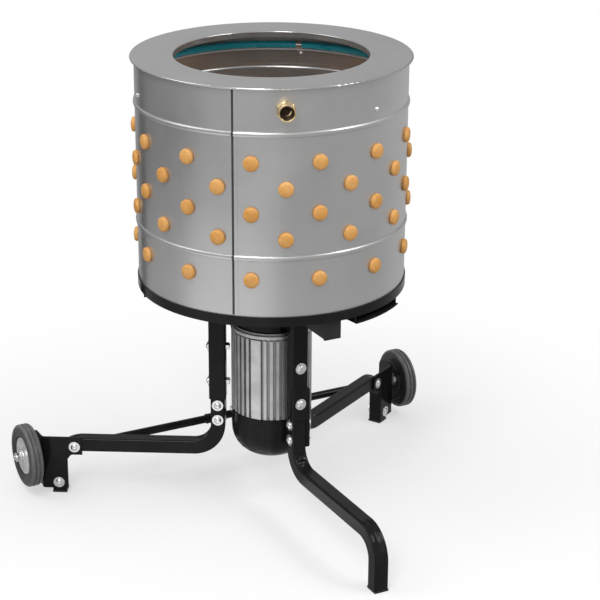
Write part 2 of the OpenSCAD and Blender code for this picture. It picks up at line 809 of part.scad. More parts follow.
module gearbox_housing() {
    color(black) difference() {
        union() {
            translate([0, 0, gearbox_z]) cylinder(d = gearbox_d, h = gearbox_h);
            translate([0, 0, stand_h - flange_t]) cylinder(d = flange_d, h = flange_t);
        }
        translate([0, 0, gearbox_z - past]) cylinder(r = ring_gear_r, h = ring_gear_top - gearbox_z + past);
        translate([0, 0, gearbox_z]) cylinder(r = carrier_r + 6, h = bearing_z - gearbox_z);
        translate([0, 0, gearbox_z]) cylinder(r = bearing_r, h = bearing_z + 2 * bearing_h - gearbox_z);
        translate([0, 0, gearbox_z]) cylinder(r = seal_r, h = gearbox_h + past);
        ring_of(gearbox_bolt_count, gearbox_bolt_r) translate([0, 0, stand_h - flange_t - past])
            cylinder(d = bolt_d + hole_gap, h = flange_t + 2 * past);
    }
}

module gearbox_bolts() {
    color("gray") ring_of(gearbox_bolt_count, gearbox_bolt_r) translate([0, 0, stand_h - flange_t])
        hex_bolt(bolt_d, flange_t + pan_t);
}

module output_bearings() {
    color(steel) for (i = [0, 1])
        tube(bearing_r - press, shaft_r + run, bearing_z + i * bearing_h, bearing_z + (i + 1) * bearing_h);
}

module shaft_seal() {
    color(black) tube(seal_r - press, shaft_r + 2 * run, seal_z, stand_h);
}

// Motor

// Outline of the housing: fins of width fin_w, and one plain strip in place of two of them
function rib(a, w) = let (root = motor_r - fin_depth, half = asin(w / 2 / root))
    [polar(root, a - half), motor_r * polar(1, a) - w / 2 * polar(1, a + 90),
        motor_r * polar(1, a) + w / 2 * polar(1, a + 90), polar(root, a + half)];
housing_outline = concat(rib(flat_angle, flat_w),
    [for (k = [1 : fin_count - 2]) each rib(flat_angle + fin_step * (k + 0.5), fin_w)]);

module motor_housing() {
    color("lightgray") difference() {
        union() {
            translate([0, 0, housing_z]) linear_extrude(motor_len - fin_gap) polygon(housing_outline);
            translate([0, 0, housing_z]) cylinder(r = core_r, h = motor_len);
            rotate([0, 0, box_angle]) translate([bore_r + 2, -pad_w / 2, box_mid - pad_h / 2])
                cube([pad_out - bore_r - 2, pad_w, pad_h]);
        }
        translate([0, 0, housing_z - past]) cylinder(r = bore_r, h = motor_len + 2 * past);
    }
}

// End shield with its spigot and bearing seat, drawn for the top of the motor at z = 0, facing down
module end_shield(r, bearing_drop) {
    boss_h = bearing_drop + motor_bearing_h;
    difference() {
        union() {
            cylinder(r = r, h = shield_t);
            translate([0, 0, -spigot_h]) cylinder(r = bore_r - press, h = spigot_h + past);
            translate([0, 0, -boss_h]) cylinder(r = boss_r, h = boss_h + past);
        }
        translate([0, 0, -boss_h - past]) cylinder(r = motor_bearing_r, h = motor_bearing_h + past);
        translate([0, 0, -boss_h]) cylinder(r = motor_shaft_r + 1, h = boss_h + shield_t + past);
    }
}

module motor_top_shield() {
    color("lightgray") difference() {
        translate([0, 0, housing_top])
            end_shield(motor_r + rim_out, housing_top - top_bearing_z - motor_bearing_h);
        tube(motor_r + rim_out + past, motor_r - shield_step, housing_top + shield_rim, gearbox_z + past);
    }
}

module motor_bottom_shield() {
    color("dimgray") difference() {
        translate([0, 0, housing_z]) rotate([180, 0, 0])
            end_shield(low_shield_r, low_bearing_z - housing_z);
        ring_of(cover_screw_count, low_shield_r - 12, cover_screw_angle) translate([0, 0, cover_screw_z])
            rotate([0, 90, 0]) cylinder(d = cover_screw_d + hole_gap, h = 20);
    }
}

module motor_bearings() {
    color(steel) for (z = [low_bearing_z, top_bearing_z])
        tube(motor_bearing_r - press, motor_shaft_r + run, z, z + motor_bearing_h);
}

module stator_core() {
    color("dimgray") tube(bore_r - press, stator_bore_r, stator_z, stator_z + stator_h);
}

module stator_windings() {
    color("chocolate") for (z = [stator_z - winding_h, stator_z + stator_h])
        tube(bore_r - 4, stator_bore_r + 4, z, z + winding_h);
}

module rotor_core() {
    color("gray")
        tube(stator_bore_r - air_gap, motor_shaft_r + press, stator_z + 2, stator_z + stator_h - 2);
}

module motor_shaft() {
    neck_z = top_bearing_z + motor_bearing_h + 1;
    color("gray") {
        translate([0, 0, fan_z - 6]) cylinder(r = motor_shaft_r, h = neck_z - fan_z + 6);
        translate([0, 0, neck_z - 1]) cylinder(r = sun_seat_r, h = gear_z + gear_w - neck_z + 1);
    }
}

module cooling_fan() {
    hub_out = motor_shaft_r + 6;
    color(black) difference() {
        union() {
            translate([0, 0, fan_z]) cylinder(r = hub_out, h = fan_h);
            translate([0, 0, fan_z + fan_h - 2]) cylinder(r = fan_r, h = 2);
            ring_of(blade_count, hub_out - 2) translate([0, -1.25, fan_z])
                cube([fan_r - hub_out, 2.5, fan_h]);
        }
        translate([0, 0, fan_z - past]) cylinder(r = motor_shaft_r + press, h = fan_h + 2 * past);
    }
}

// Bowl of the fan cover, shrunk all round by t
function cover_line(t) = concat([[0, cover_z + t]],
    [for (a = [-90 : 10 : 0]) [motor_r - cover_round, cover_z + cover_round] + polar(cover_round - t, a)],
    [[motor_r - t, housing_z]]);

module fan_cover() {
    color(black) difference() {
        rotate_extrude() polygon(concat(cover_line(0), [[0, housing_z]]));
        rotate_extrude() polygon(concat(cover_line(cover_t),
            [[motor_r - cover_t, housing_z + past], [0, housing_z + past]]));
        for (ring = [[6, 9], [10, 18]]) ring_of(ring[0], ring[1]) translate([0, 0, cover_z - past])
            cylinder(r = 2.4, h = cover_t + 2 * past);
        ring_of(cover_screw_count, motor_r - 5, cover_screw_angle) translate([0, 0, cover_screw_z])
            rotate([0, 90, 0]) cylinder(d = cover_screw_d + hole_gap, h = 10);
    }
}

module cover_screws() {
    color(steel) ring_of(cover_screw_count, motor_r + press, cover_screw_angle)
        translate([0, 0, cover_screw_z]) rotate([0, -90, 0]) {
            cylinder(d = cover_screw_d, h = 11);
            translate([0, 0, -2.5]) cylinder(r = cover_screw_d - 0.5, h = 2.5);
        }
}

// Terminal box, behind the motor

module terminal_box() {
    color(black) rotate([0, 0, box_angle]) difference() {
        translate([pad_out, -box_w / 2, box_mid - box_h / 2]) cube([box_d, box_w, box_h]);
        translate([pad_out + box_wall, -box_w / 2 + box_wall, box_mid - box_h / 2 + box_wall])
            cube([box_d, box_w - 2 * box_wall, box_h - 2 * box_wall]);
        translate([pad_out + box_d / 2, 0, box_mid - box_h / 2 - past])
            cylinder(r = gland_r + hole_gap, h = box_wall + 2 * past);
    }
}

module terminal_lid() {
    color(black) rotate([0, 0, box_angle]) {
        translate([pad_out + box_d, -box_w / 2, box_mid - box_h / 2]) cube([box_wall, box_w, box_h]);
        translate([pad_out + box_d - 3, -box_w / 2 + box_wall + slip,
            box_mid - box_h / 2 + box_wall + slip])
            cube([4, box_w - 2 * (box_wall + slip), box_h - 2 * (box_wall + slip)]);
    }
}

module cable_gland() {
    low = box_mid - box_h / 2;
    color(black) rotate([0, 0, box_angle]) translate([pad_out + box_d / 2, 0, 0]) difference() {
        union() {
            translate([0, 0, low - 8]) cylinder(r = gland_r + 5, h = 8, $fn = 6);
            translate([0, 0, low - 20]) cylinder(r1 = gland_r, r2 = gland_r + 3, h = 12);
            translate([0, 0, low - 1]) cylinder(r = gland_r, h = box_wall + 6);
        }
        translate([0, 0, low - 20 - past]) cylinder(d = gland_bore, h = 40);
    }
}

// Stand

module square_tube(w, wall, len) {
    difference() {
        translate([-w / 2, -w / 2, 0]) cube([w, w, len]);
        translate([-w / 2 + wall, -w / 2 + wall, -past]) cube([w - 2 * wall, w - 2 * wall, len + 2 * past]);
    }
}

// Holes across a tube that stands at x = r: along X, or along Y
module cross_hole(r, z, along) {
    translate([r, 0, z]) rotate(along == "x" ? [0, 90, 0] : [90, 0, 0])
        cylinder(d = bolt_d + hole_gap, h = 3 * post_w, center = true);
}

module stand_post(index) {
    inner = post_r - post_w / 2;
    side = -head_side[index];
    color(black) rotate([0, 0, leg_angles[index]]) difference() {
        union() {
            translate([post_r, 0, post_z]) square_tube(post_w, post_wall, post_len);
            difference() {
                translate([inner, -post_w / 2, beam_z]) cube([beam_r - inner, post_w, beam_h]);
                translate([inner - past, -post_w / 2 + post_wall, beam_z + post_wall])
                    cube([beam_r - inner + 2 * past, post_w - 2 * post_wall, beam_h - 2 * post_wall]);
            }
            mirror([0, side < 0 ? 1 : 0, 0]) {
                translate([post_r - post_w / 2 + 2, post_w / 2, tab_z]) cube([post_w - 4, tab_t, tab_h]);
                translate([post_r - post_w / 2 + 2, leg_w / 2, tab_z])
                    cube([post_w - 4, tab_pad + tab_t / 2, post_z - tab_z]);
            }
        }
        for (z = post_bolt_z) cross_hole(post_r, z, "x");
        for (z = leg_bolt_z) cross_hole(post_r, z, "y");
        for (r = pan_bolt_r) translate([r, 0, stand_h - 2 * post_wall])
            cylinder(r = bolt_d / 2 + 2 + hole_gap, h = 2 * post_wall + past);
    }
}

module post_front() { stand_post(0); }
module post_left() { stand_post(1); }
module post_right() { stand_post(2); }

// Quarter bend of a square bar about the Y axis, from the direction turn to turn + 90 degrees
module bar_bend(w, turn) {
    rotate([90, 0, 0]) rotate([0, 0, turn]) rotate_extrude(angle = 90)
        translate([bend_r - w / 2, -w / 2]) square([w, w]);
}

// Bar along a leg: down from the post, out along the arm and down to the foot
module leg_bar(w, more) {
    translate([post_r - w / 2, -w / 2, bend_top]) cube([w, w, leg_top - bend_top + more]);
    translate([post_r + bend_r, 0, bend_top]) bar_bend(w, 180);
    translate([post_r + bend_r, -w / 2, arm_z - w / 2]) cube([bend_out - post_r - bend_r, w, w]);
    translate([bend_out, 0, arm_z - bend_r]) bar_bend(w, 0);
    translate([foot_r - w / 2, -w / 2, plug_t - more]) cube([w, w, arm_z - bend_r - plug_t + more]);
}

module stand_leg(index, wheel_holes) {
    color(black) rotate([0, 0, leg_angles[index]]) difference() {
        leg_bar(leg_w, 0);
        leg_bar(leg_w - 2 * leg_wall, past);
        for (z = post_bolt_z) cross_hole(post_r, z, "x");
        for (z = leg_bolt_z) cross_hole(post_r, z, "y");
        if (wheel_holes) for (p = bracket_bolts_at) cross_hole(p[0], p[1], "y");
    }
}

module leg_front() { stand_leg(0, false); }
module leg_left() { stand_leg(1, true); }
module leg_right() { stand_leg(2, true); }

module tube_plugs() {
    foot_in = leg_w - 2 * leg_wall - 2 * slip;
    beam_in = [plug_in, post_w - 2 * post_wall - 2 * slip, beam_h - 2 * post_wall - 2 * slip];
    color(black) for (a = leg_angles) rotate([0, 0, a]) {
        translate([foot_r - leg_w / 2, -leg_w / 2, 0]) cube([leg_w, leg_w, plug_t]);
        translate([foot_r - foot_in / 2, -foot_in / 2, plug_t / 2]) cube([foot_in, foot_in, 10]);
        translate([beam_r, -post_w / 2, beam_z]) cube([plug_t, post_w, beam_h]);
        translate([beam_r - plug_in + 1, -beam_in[1] / 2, beam_z + post_wall + slip]) cube(beam_in);
    }
}

module post_bolts() {
    color(steel) for (a = leg_angles, z = post_bolt_z) rotate([0, 0, a])
        translate([post_r + post_w / 2, 0, z]) rotate([0, -90, 0]) bolt(bolt_d, post_w, washer_r);
}

module leg_bolts() {
    color(steel) for (i = [0 : 2], z = leg_bolt_z) rotate([0, 0, leg_angles[i]])
        translate([post_r, head_side[i] * leg_w / 2, z]) rotate([90 * head_side[i], 0, 0])
            bolt(bolt_d, leg_w + tab_pad + tab_t, washer_r);
}

// Round bar that meets the inner sides of the rear arms, with a collar near each end of its middle
module cross_brace() {
    reach = brace_y / tan(right) + post_w;
    color(black) difference() {
        union() {
            translate([-reach, brace_y, brace_z]) rotate([0, 90, 0]) cylinder(d = brace_d, h = 2 * reach);
            for (x = [-collar_x, collar_x]) translate([x - collar_w / 2, brace_y, brace_z])
                rotate([0, 90, 0]) cylinder(d = collar_d, h = collar_w);
        }
        for (m = [0, 1]) mirror([m, 0, 0]) rotate([0, 0, right])
            translate([0, leg_w / 2 - foot_r, brace_z - foot_r / 2]) cube([foot_r, foot_r, foot_r]);
    }
}

// Wheel brackets: a plate on the front side of a rear foot, folded into a flange square to the axle

// Plan of the folded strip: along the foot, round the fold and back along the flange
function fold_arc(off) = [for (a = [right - 90 : 15 : 0])
    [flange_x - fold_r, fold_y + fold_r * tan(45 - right / 2)] + polar(fold_r + off, a)];
function on_plate(s, off) = [s * cos(right) + (plate_mid + off) * sin(right),
    s * sin(right) - (plate_mid + off) * cos(right)];
function strip_side(off) = concat([on_plate(ear_in, off)], fold_arc(off),
    [[flange_x + off, flange_end]]);

// Face of the plate, with its ear on the arm, and face of the flange
plate_face = concat([[ear_in, plate_high], [ear_in, ear_low]],
    [for (a = [90 : -15 : 0]) [plate_in - ear_round, ear_low - ear_round] + polar(ear_round, a)],
    [[plate_in, plate_low], [fold_s + bracket_t, plate_low], [fold_s + bracket_t, plate_high]]);
flange_end = fold_y + flange_w;
corner_y = flange_end - flange_round;
flange_top = flange_z + flange_h;
flange_face = concat([[fold_y, flange_top], [fold_y, flange_z]],
    [for (a = [-90 : 15 : 0]) [corner_y, flange_z + flange_round] + polar(flange_round, a)],
    [for (a = [0 : 15 : 90]) [corner_y, flange_top - flange_round] + polar(flange_round, a)]);

module wheel_bracket() {
    depth = 3 * bracket_t;
    color(black) difference() {
        intersection() {
            linear_extrude(plate_high + past)
                polygon(concat(strip_side(bracket_t / 2), reverse(strip_side(-bracket_t / 2))));
            union() {
                rotate([0, 0, right]) translate([0, depth / 2 - plate_mid, 0]) rotate([90, 0, 0])
                    linear_extrude(depth) polygon(plate_face);
                translate([flange_x - depth / 2, 0, 0]) rotate([90, 0, 90])
                    linear_extrude(depth) polygon(flange_face);
            }
        }
        rotate([0, 0, right]) for (p = bracket_bolts_at) cross_hole(p[0], p[1], "y");
        translate([flange_x - depth / 2, axle_y, axle_z]) rotate([0, 90, 0])
            cylinder(d = axle_d + hole_gap, h = depth);
    }
}

module wheel_bracket_right() { wheel_bracket(); }
module wheel_bracket_left() { mirror([1, 0, 0]) wheel_bracket(); }

module bracket_bolts() {
    color(steel) for (m = [0, 1], p = bracket_bolts_at) mirror([m, 0, 0]) rotate([0, 0, right])
        translate([p[0], -leg_w / 2 - bracket_t, p[1]]) rotate([-90, 0, 0])
            bolt(bolt_d, leg_w + bracket_t, washer_r);
}

// Axle bolts with their spacers, washers and nuts
module wheel_axles() {
    seat_x = flange_x - bracket_t / 2;
    outer_x = wheel_x + wheel_w / 2 + 1 + slip;
    color(steel) for (m = [0, 1]) mirror([m, 0, 0]) translate([0, axle_y, axle_z]) rotate([0, 90, 0]) {
        translate([0, 0, seat_x - 7]) cylinder(r = 0.9 * axle_d, h = 7, $fn = 6);
        translate([0, 0, seat_x - 1]) cylinder(d = axle_d, h = outer_x - seat_x + axle_end);
        translate([0, 0, flange_x + bracket_t / 2]) cylinder(r = spacer_r, h = spacer_len);
        translate([0, 0, outer_x]) cylinder(r = axle_d, h = 2);
        translate([0, 0, outer_x + 1]) cylinder(r = 0.85 * axle_d, h = 9, $fn = 6);
    }
}

// Wheel parts turn about +Z here, with the outer face up
module tyre() {
    half = wheel_w / 2;
    r = wheel_d / 2;
    color(black) rotate_extrude() polygon(concat(
        [[hub_r + press, -half], [r - 14, -half]],
        [for (a = [-75 : 15 : -15]) [r - tyre_round, tyre_round - half] + polar(tyre_round, a)],
        [for (g = tread_grooves) each [[r, g - groove_half], [r - groove_d, g - groove_half],
            [r - groove_d, g + groove_half], [r, g + groove_half]]],
        [for (a = [15 : 15 : 75]) [r - tyre_round, half - tyre_round] + polar(tyre_round, a)],
        [[r - 14, half], [disc_r + 6, half - 1], [disc_r + 2, half - 6], [disc_r, half - 12],
            [hub_r + press, half - 12]]));
}

module wheel_hub() {
    half = wheel_w / 2;
    color(steel) rotate_extrude() polygon([[axle_d / 2 + run, -half], [hub_r, -half],
        [hub_r, half - 12 + press], [disc_r - slip, half - 12 + press], [disc_r - slip, half - 9],
        [hub_r + 6, half - 4], [hub_r - 2, half + 1], [axle_d / 2 + run, half + 1]]);
}

module wheel_place(m) {
    mirror([m, 0, 0]) translate([wheel_x, axle_y, axle_z]) rotate([0, 90, 0]) children();
}

module tyre_left() { wheel_place(1) tyre(); }
module tyre_right() { wheel_place(0) tyre(); }
module wheel_hub_left() { wheel_place(1) wheel_hub(); }
module wheel_hub_right() { wheel_place(0) wheel_hub(); }

// Puts the barrel axis in its place over the stance
module placed() { translate([0, axis_y, 0]) children(); }

placed() barrel_shell();
placed() barrel_lid();
placed() barrel_fingers();
placed() spray_hose();
placed() hose_tee();
placed() hose_clips();
placed() clip_screws();
placed() inlet_fitting();
placed() base_pan();
placed() pan_bolts();
placed() feather_chute();
placed() chute_bolts();
placed() rotor_plate();
placed() plate_fingers();
placed() rotor_hub();
placed() hub_bolts();
placed() rotor_nut();
placed() planet_carrier();
placed() planet_gear_1();
placed() planet_gear_2();
placed() planet_gear_3();
placed() sun_gear();
placed() ring_gear();
placed() gearbox_housing();
placed() gearbox_bolts();
placed() output_bearings();
placed() shaft_seal();
placed() motor_housing();
placed() motor_top_shield();
placed() motor_bottom_shield();
placed() motor_bearings();
placed() stator_core();
placed() stator_windings();
placed() rotor_core();
placed() motor_shaft();
placed() cooling_fan();
placed() fan_cover();
placed() cover_screws();
placed() terminal_box();
placed() terminal_lid();
placed() cable_gland();
placed() post_front();
placed() post_left();
placed() post_right();
placed() leg_front();
placed() leg_left();
placed() leg_right();
placed() tube_plugs();
placed() post_bolts();
placed() leg_bolts();
placed() cross_brace();
placed() wheel_bracket_left();
placed() wheel_bracket_right();
placed() bracket_bolts();
placed() wheel_axles();
placed() tyre_left();
placed() tyre_right();
placed() wheel_hub_left();
placed() wheel_hub_right();
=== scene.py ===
import json
import math

import bmesh
import bpy
from mathutils import Matrix, Vector, noise


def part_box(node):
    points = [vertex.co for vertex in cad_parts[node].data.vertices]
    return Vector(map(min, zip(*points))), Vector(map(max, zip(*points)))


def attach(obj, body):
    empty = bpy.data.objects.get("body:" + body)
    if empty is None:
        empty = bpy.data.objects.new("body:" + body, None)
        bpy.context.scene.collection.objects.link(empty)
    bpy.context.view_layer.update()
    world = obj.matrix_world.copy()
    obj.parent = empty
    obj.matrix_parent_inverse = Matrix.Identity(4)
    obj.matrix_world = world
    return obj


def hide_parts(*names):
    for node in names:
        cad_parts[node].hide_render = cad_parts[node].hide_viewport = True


# Looks of a drum poultry plucker, dressed around its solids. Metres, +Z up, floor at z = 0.

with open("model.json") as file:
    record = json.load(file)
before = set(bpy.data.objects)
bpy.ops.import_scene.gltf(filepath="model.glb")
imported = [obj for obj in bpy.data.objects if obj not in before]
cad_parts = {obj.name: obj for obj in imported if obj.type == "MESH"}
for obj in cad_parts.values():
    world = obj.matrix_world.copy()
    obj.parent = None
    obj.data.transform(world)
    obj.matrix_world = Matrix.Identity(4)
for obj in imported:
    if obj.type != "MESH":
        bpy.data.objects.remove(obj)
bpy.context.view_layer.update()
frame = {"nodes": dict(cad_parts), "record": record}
nodes = frame["nodes"]

# Camera of the photograph, its height measured from the foot of the barrel
CAMERA_AT = (-1.4924, -2.8579, 1.2134)
CAMERA_LENS = 110.95
CAMERA_SENSOR = 36
CAMERA_PITCH = 20.99
CAMERA_HEADING = 27.0
CAMERA_SHIFT = 0.0475
CAMERA_REACH = 100

# Square tubes of the stand
TUBE_CORNER = 0.0035
CORNER_STEPS = 4
TUBE_WALL = 0.0022
# Inner corner of a tube, and how far its open ends can be looked into
TUBE_INNER_CORNER = TUBE_CORNER - TUBE_WALL * 0.6
TUBE_DEEP = 0.02

# Posts and beams
POST_W = 0.033
POST_LEN = 0.209
POST_R = 0.104
BEAM_H = 0.038
POST_WELD_R = 0.0016

# Legs: the middle of an arm lies ARM_DROP below the foot of its post
LEG_W = 0.028
LEG_ANGLES = {"front": -90, "left": 150, "right": 30}
ARM_DROP = 0.106
BEND_R = 0.048
BEND_STEPS = 48
DENT = 0.0042
WRINKLE = 0.0016
# Width of the facets across a leg's walls
FACET_W = 0.0016

# Plates that join posts and legs, and the side of each post that carries one
TAB_T = 0.005
TAB_LEN = 0.122
TAB_W = POST_W - 0.004
TAB_CORNER = 0.004
TAB_WELD_R = 0.0015
TAB_WELD_OUT = 0.001
TAB_WELD_INSET = 0.004
TAB_SIDE = {"front": 1, "left": -1, "right": 1}
# Filler between a leg and its plate
FILLER_T = TAB_T / 2 + 0.002

# Barrel: its wall, its beads above its foot, its seam, the inlet and the hose ring inside
BARREL_R = 0.250
BEAD_HEIGHTS = (0.124, 0.348)
SEAM_ANGLE = -132.0
INLET_ANGLE = -111.4
HOSE_RING_R = 0.2402

# Fingers: rows above the barrel's foot, every second one shifted by half a step, and rings on the plate
FINGERS_PER_ROW = 13
ROW_ANGLE = -97.4
ROWS = [(0.297, 0), (0.251, 1), (0.205, 0), (0.159, 1), (0.084, 0)]
PLATE_RINGS = [(5, 0.062), (9, 0.105), (13, 0.150)]
FINGER_STEPS = 32
# Gap under a head, and the length of a neck in each sheet
HEAD_GAP = 0.00005
WALL_GRIP = 0.00192
PLATE_GRIP = 0.0031

# Motor: foot of the fins
FIN_FOOT_R = 0.0715

# Wheels
AXLE_R = 0.00605
HUB_R = 0.014
HUB_GAP = 0.0001
DISC_R = 0.0375
DISC_DEEP = 0.006
WHEEL_STEPS = 96

# Edges sharper than this stay sharp, and points nearer than this become one
SMOOTH_ANGLE = math.radians(38)
MERGE = 1e-6


# Places taken from the solids

def middle(node):
    low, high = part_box(node)
    return (low + high) / 2


AXIS = middle("barrel_shell")
BARREL_LOW, BARREL_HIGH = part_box("barrel_shell")
BARREL_Z = BARREL_LOW.z
BEADS = [BARREL_Z + height for height in BEAD_HEIGHTS]
HOSE_LOW, HOSE_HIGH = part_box("spray_hose")
HOSE_Z = (HOSE_LOW.z + HOSE_HIGH.z) / 2
POST_FRONT_LOW, POST_FRONT_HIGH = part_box("post_front")
LEG_FRONT_LOW, LEG_FRONT_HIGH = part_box("leg_front")
BEAM_Z = POST_FRONT_HIGH.z - BEAM_H
BEAM_R = AXIS.y - POST_FRONT_LOW.y
POST_Z = BEAM_Z - POST_LEN
ARM_Z = POST_Z - ARM_DROP
TAB_LOW = POST_FRONT_LOW.z
TAB_HIGH = TAB_LOW + TAB_LEN
FOOT_R = AXIS.y - LEG_FRONT_LOW.y - LEG_W / 2
LEG_TOP = LEG_FRONT_HIGH.z
FOOT_Z = LEG_FRONT_LOW.z


def turned(angle, axis):
    return Matrix.Rotation(math.radians(angle), 4, axis)


def about_axis(angle=0.0, at=(0.0, 0.0, 0.0)):
    """Frame that stands on the barrel axis, turned by angle, moved by at along its own axes."""
    return Matrix.Translation((AXIS.x, AXIS.y, 0)) @ turned(angle, "Z") @ Matrix.Translation(at)


# Meshes

def turns(count):
    """Angles of a full turn in equal steps."""
    return [2 * math.pi * k / count for k in range(count)]


def ring(bm, points, matrix):
    return [bm.verts.new(matrix @ Vector(p)) for p in points]


def bridge(bm, a, b):
    count = len(a)
    for i in range(count):
        j = (i + 1) % count
        bm.faces.new((a[i], a[j], b[j], b[i]))


def skin(bm, rings):
    """Closed skin over a row of rings, with a face at each end."""
    for a, b in zip(rings, rings[1:]):
        bridge(bm, a, b)
    bm.faces.new(rings[0])
    bm.faces.new(rings[-1])


def lathe(bm, profile, matrix, steps):
    """Turns (radius, height) points about the local Z axis. A radius of 0 closes an end."""
    rings = []
    for r, z in profile:
        if r == 0:
            rings.append(ring(bm, [(0, 0, z)], matrix))
        else:
            rings.append(ring(bm, [(r * math.cos(a), r * math.sin(a), z) for a in turns(steps)], matrix))
    for a, b in zip(rings, rings[1:]):
        if len(a) == 1:
            fan = [(a[0], b[i], b[(i + 1) % steps]) for i in range(steps)]
        elif len(b) == 1:
            fan = [(a[i], b[0], a[(i + 1) % steps]) for i in range(steps)]
        else:
            bridge(bm, a, b)
            continue
        for face in fan:
            bm.faces.new(face)


def lathe_loop(bm, profile, matrix, steps):
    """Turns a profile that ends where it starts."""
    lathe(bm, profile, matrix, steps)
    bmesh.ops.remove_doubles(bm, verts=bm.verts, dist=MERGE)


def on_circle(centre, r, angle):
    a = math.radians(angle)
    return (centre[0] + r * math.cos(a), centre[1] + r * math.sin(a))


def arc(centre, r, first, last, steps):
    """Points of an arc about centre, from angle first to last in degrees."""
    return [on_circle(centre, r, first + (last - first) * i / steps) for i in range(steps + 1)]


def rounded_rect(w, h, r):
    across, up = w / 2 - r, h / 2 - r
    corners = [(across, up, 0), (-across, up, 90), (-across, -up, 180), (across, -up, 270)]
    return [p for x, y, a in corners for p in arc((x, y), r, a, a + 90, CORNER_STEPS)]


def stacked(bm, levels, matrix):
    """Skin over flat outlines at given heights."""
    skin(bm, [ring(bm, [(x, y, z) for x, y in outline], matrix) for outline, z in levels])


def piece(name, bm, body, look, replaces=()):
    """Turns a bmesh into a shown piece that rides on a body."""
    bmesh.ops.recalc_face_normals(bm, faces=bm.faces)
    mesh = bpy.data.meshes.new(name)
    bm.to_mesh(mesh)
    bm.free()
    mesh.shade_smooth()
    mesh.set_sharp_from_angle(angle=SMOOTH_ANGLE)
    mesh.materials.append(look)
    made = bpy.data.objects.new(name, mesh)
    bpy.context.scene.collection.objects.link(made)
    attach(made, body)
    if replaces:
        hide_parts(*replaces)


# Materials

class NodeTree:
    """Makes and joins the nodes of a material or a world."""

    def __init__(self, tree):
        self.tree = tree

    def node(self, kind, inputs=None, **settings):
        made = self.tree.nodes.new("ShaderNode" + kind)
        for key, value in settings.items():
            setattr(made, key, value)
        for key, value in (inputs or {}).items():
            self.feed(made.inputs[key], value)
        return made

    def feed(self, socket, value):
        if isinstance(value, bpy.types.NodeSocket):
            self.tree.links.new(value, socket)
        else:
            socket.default_value = value

    def math(self, operation, a, b=0.0):
        return self.node("Math", {0: a, 1: b}, operation=operation).outputs[0]


class Look(NodeTree):
    """A procedural material: one shader and the nodes that feed it."""

    def __init__(self, name, sockets):
        self.material = bpy.data.materials.new(name)
        self.material.use_nodes = True
        super().__init__(self.material.node_tree)
        self.shader = self.tree.nodes["Principled BSDF"]
        for socket, value in sockets.items():
            self.shader.inputs[socket].default_value = value
        self.place = self.node("TexCoord").outputs["Object"]

    def stretched(self, scale):
        """Object coordinates, scaled along each axis."""
        return self.node("Mapping", {"Vector": self.place, "Scale": scale}).outputs["Vector"]

    def noise(self, scale, detail, rough=0.5, vector=None):
        inputs = {"Vector": vector or self.place, "Scale": scale, "Detail": detail, "Roughness": rough}
        return self.node("TexNoise", inputs).outputs["Fac"]

    def ramp(self, value, low, high, start=0.0, end=1.0):
        """Maps value from low..high to start..end, clamped."""
        inputs = {"Value": value, "From Min": low, "From Max": high, "To Min": start, "To Max": end}
        return self.node("MapRange", inputs, clamp=True).outputs["Result"]

    def mix(self, share, a, b):
        """Colour between a and b."""
        made = self.node("Mix", data_type="RGBA")
        for socket, value in zip((0, 6, 7), (share, a, b)):
            self.feed(made.inputs[socket], value)
        return made.outputs[2]

    def vector(self, operation, a, b):
        return self.node("VectorMath", {0: a, 1: b}, operation=operation).outputs[0]

    def seen_from(self, point):
        """Object coordinates measured from a point."""
        return self.vector("SUBTRACT", self.place, tuple(point))

    def away(self, point, counted):
        """Distance from a point along the axes that are counted with 1."""
        flat = self.vector("MULTIPLY", self.seen_from(point), counted)
        return self.node("VectorMath", {0: flat}, operation="LENGTH").outputs["Value"]

    def bearing(self, point):
        """Angle about the upright line through a point, in radians."""
        across = self.node("SeparateXYZ", {0: self.seen_from(point)})
        return self.math("ARCTAN2", across.outputs["Y"], across.outputs["X"])

    def bump(self, height, distance, strength, normal=None):
        inputs = {"Height": height, "Distance": distance, "Strength": strength}
        if normal is not None:
            inputs["Normal"] = normal
        return self.node("Bump", inputs).outputs["Normal"]

    def rounded(self, radius):
        """Normal that is rounded over at the edges."""
        return self.node("Bevel", {"Radius": radius}, samples=4).outputs["Normal"]

    def set(self, color, roughness, normal):
        for socket, value in (("Base Color", color), ("Roughness", roughness), ("Normal", normal)):
            self.feed(self.shader.inputs[socket], value)
        return self.material


def grey(level, warm=0.0):
    return (level * (1 + warm), level, level * (1 - warm), 1)


def stainless(name, seamed, rough):
    """Dull sheet steel: rolling streaks, faint stains and slight waves. A seamed sheet bends at its seam."""
    look = Look(name, {"Metallic": 0.86, "Specular IOR Level": 0.2})
    streaks = look.noise(1.0, detail=4.0, rough=0.6, vector=look.stretched((2.5, 2.5, 620)))
    stains = look.noise(7.0, detail=5.0, rough=0.55)
    waves = look.noise(1.0, detail=1.5, rough=0.4, vector=look.stretched((8, 8, 1.6)))
    tone = look.mix(look.ramp(stains, 0.3, 0.72), grey(0.54), grey(0.61))
    tone = look.mix(look.ramp(streaks, 0.4, 0.75, 0, 0.09), tone, grey(0.72))
    level = look.ramp(stains, 0.3, 0.7, rough - 0.04, rough + 0.04)
    level = look.math("ADD", level, look.ramp(streaks, 0.35, 0.7, -0.01, 0.02))
    normal = look.bump(waves, distance=0.004, strength=0.6)
    if seamed:
        normal = look.bump(seam_lie(look), distance=1.0, strength=1.0, normal=normal)
    normal = look.bump(streaks, distance=0.00003, strength=0.2, normal=normal)
    return look.set(tone, level, normal)


def seam_lie(look):
    """Height of the sheet beside the seam, in metres. It runs up to the seam almost straight."""
    rise = 0.0022
    reach = 0.13
    off_seam = look.math("SUBTRACT", look.bearing(AXIS), math.radians(SEAM_ANGLE))
    fall = look.math("MULTIPLY", look.math("ABSOLUTE", off_seam), -1 / reach)
    return look.math("MULTIPLY", look.math("EXPONENT", fall), rise)


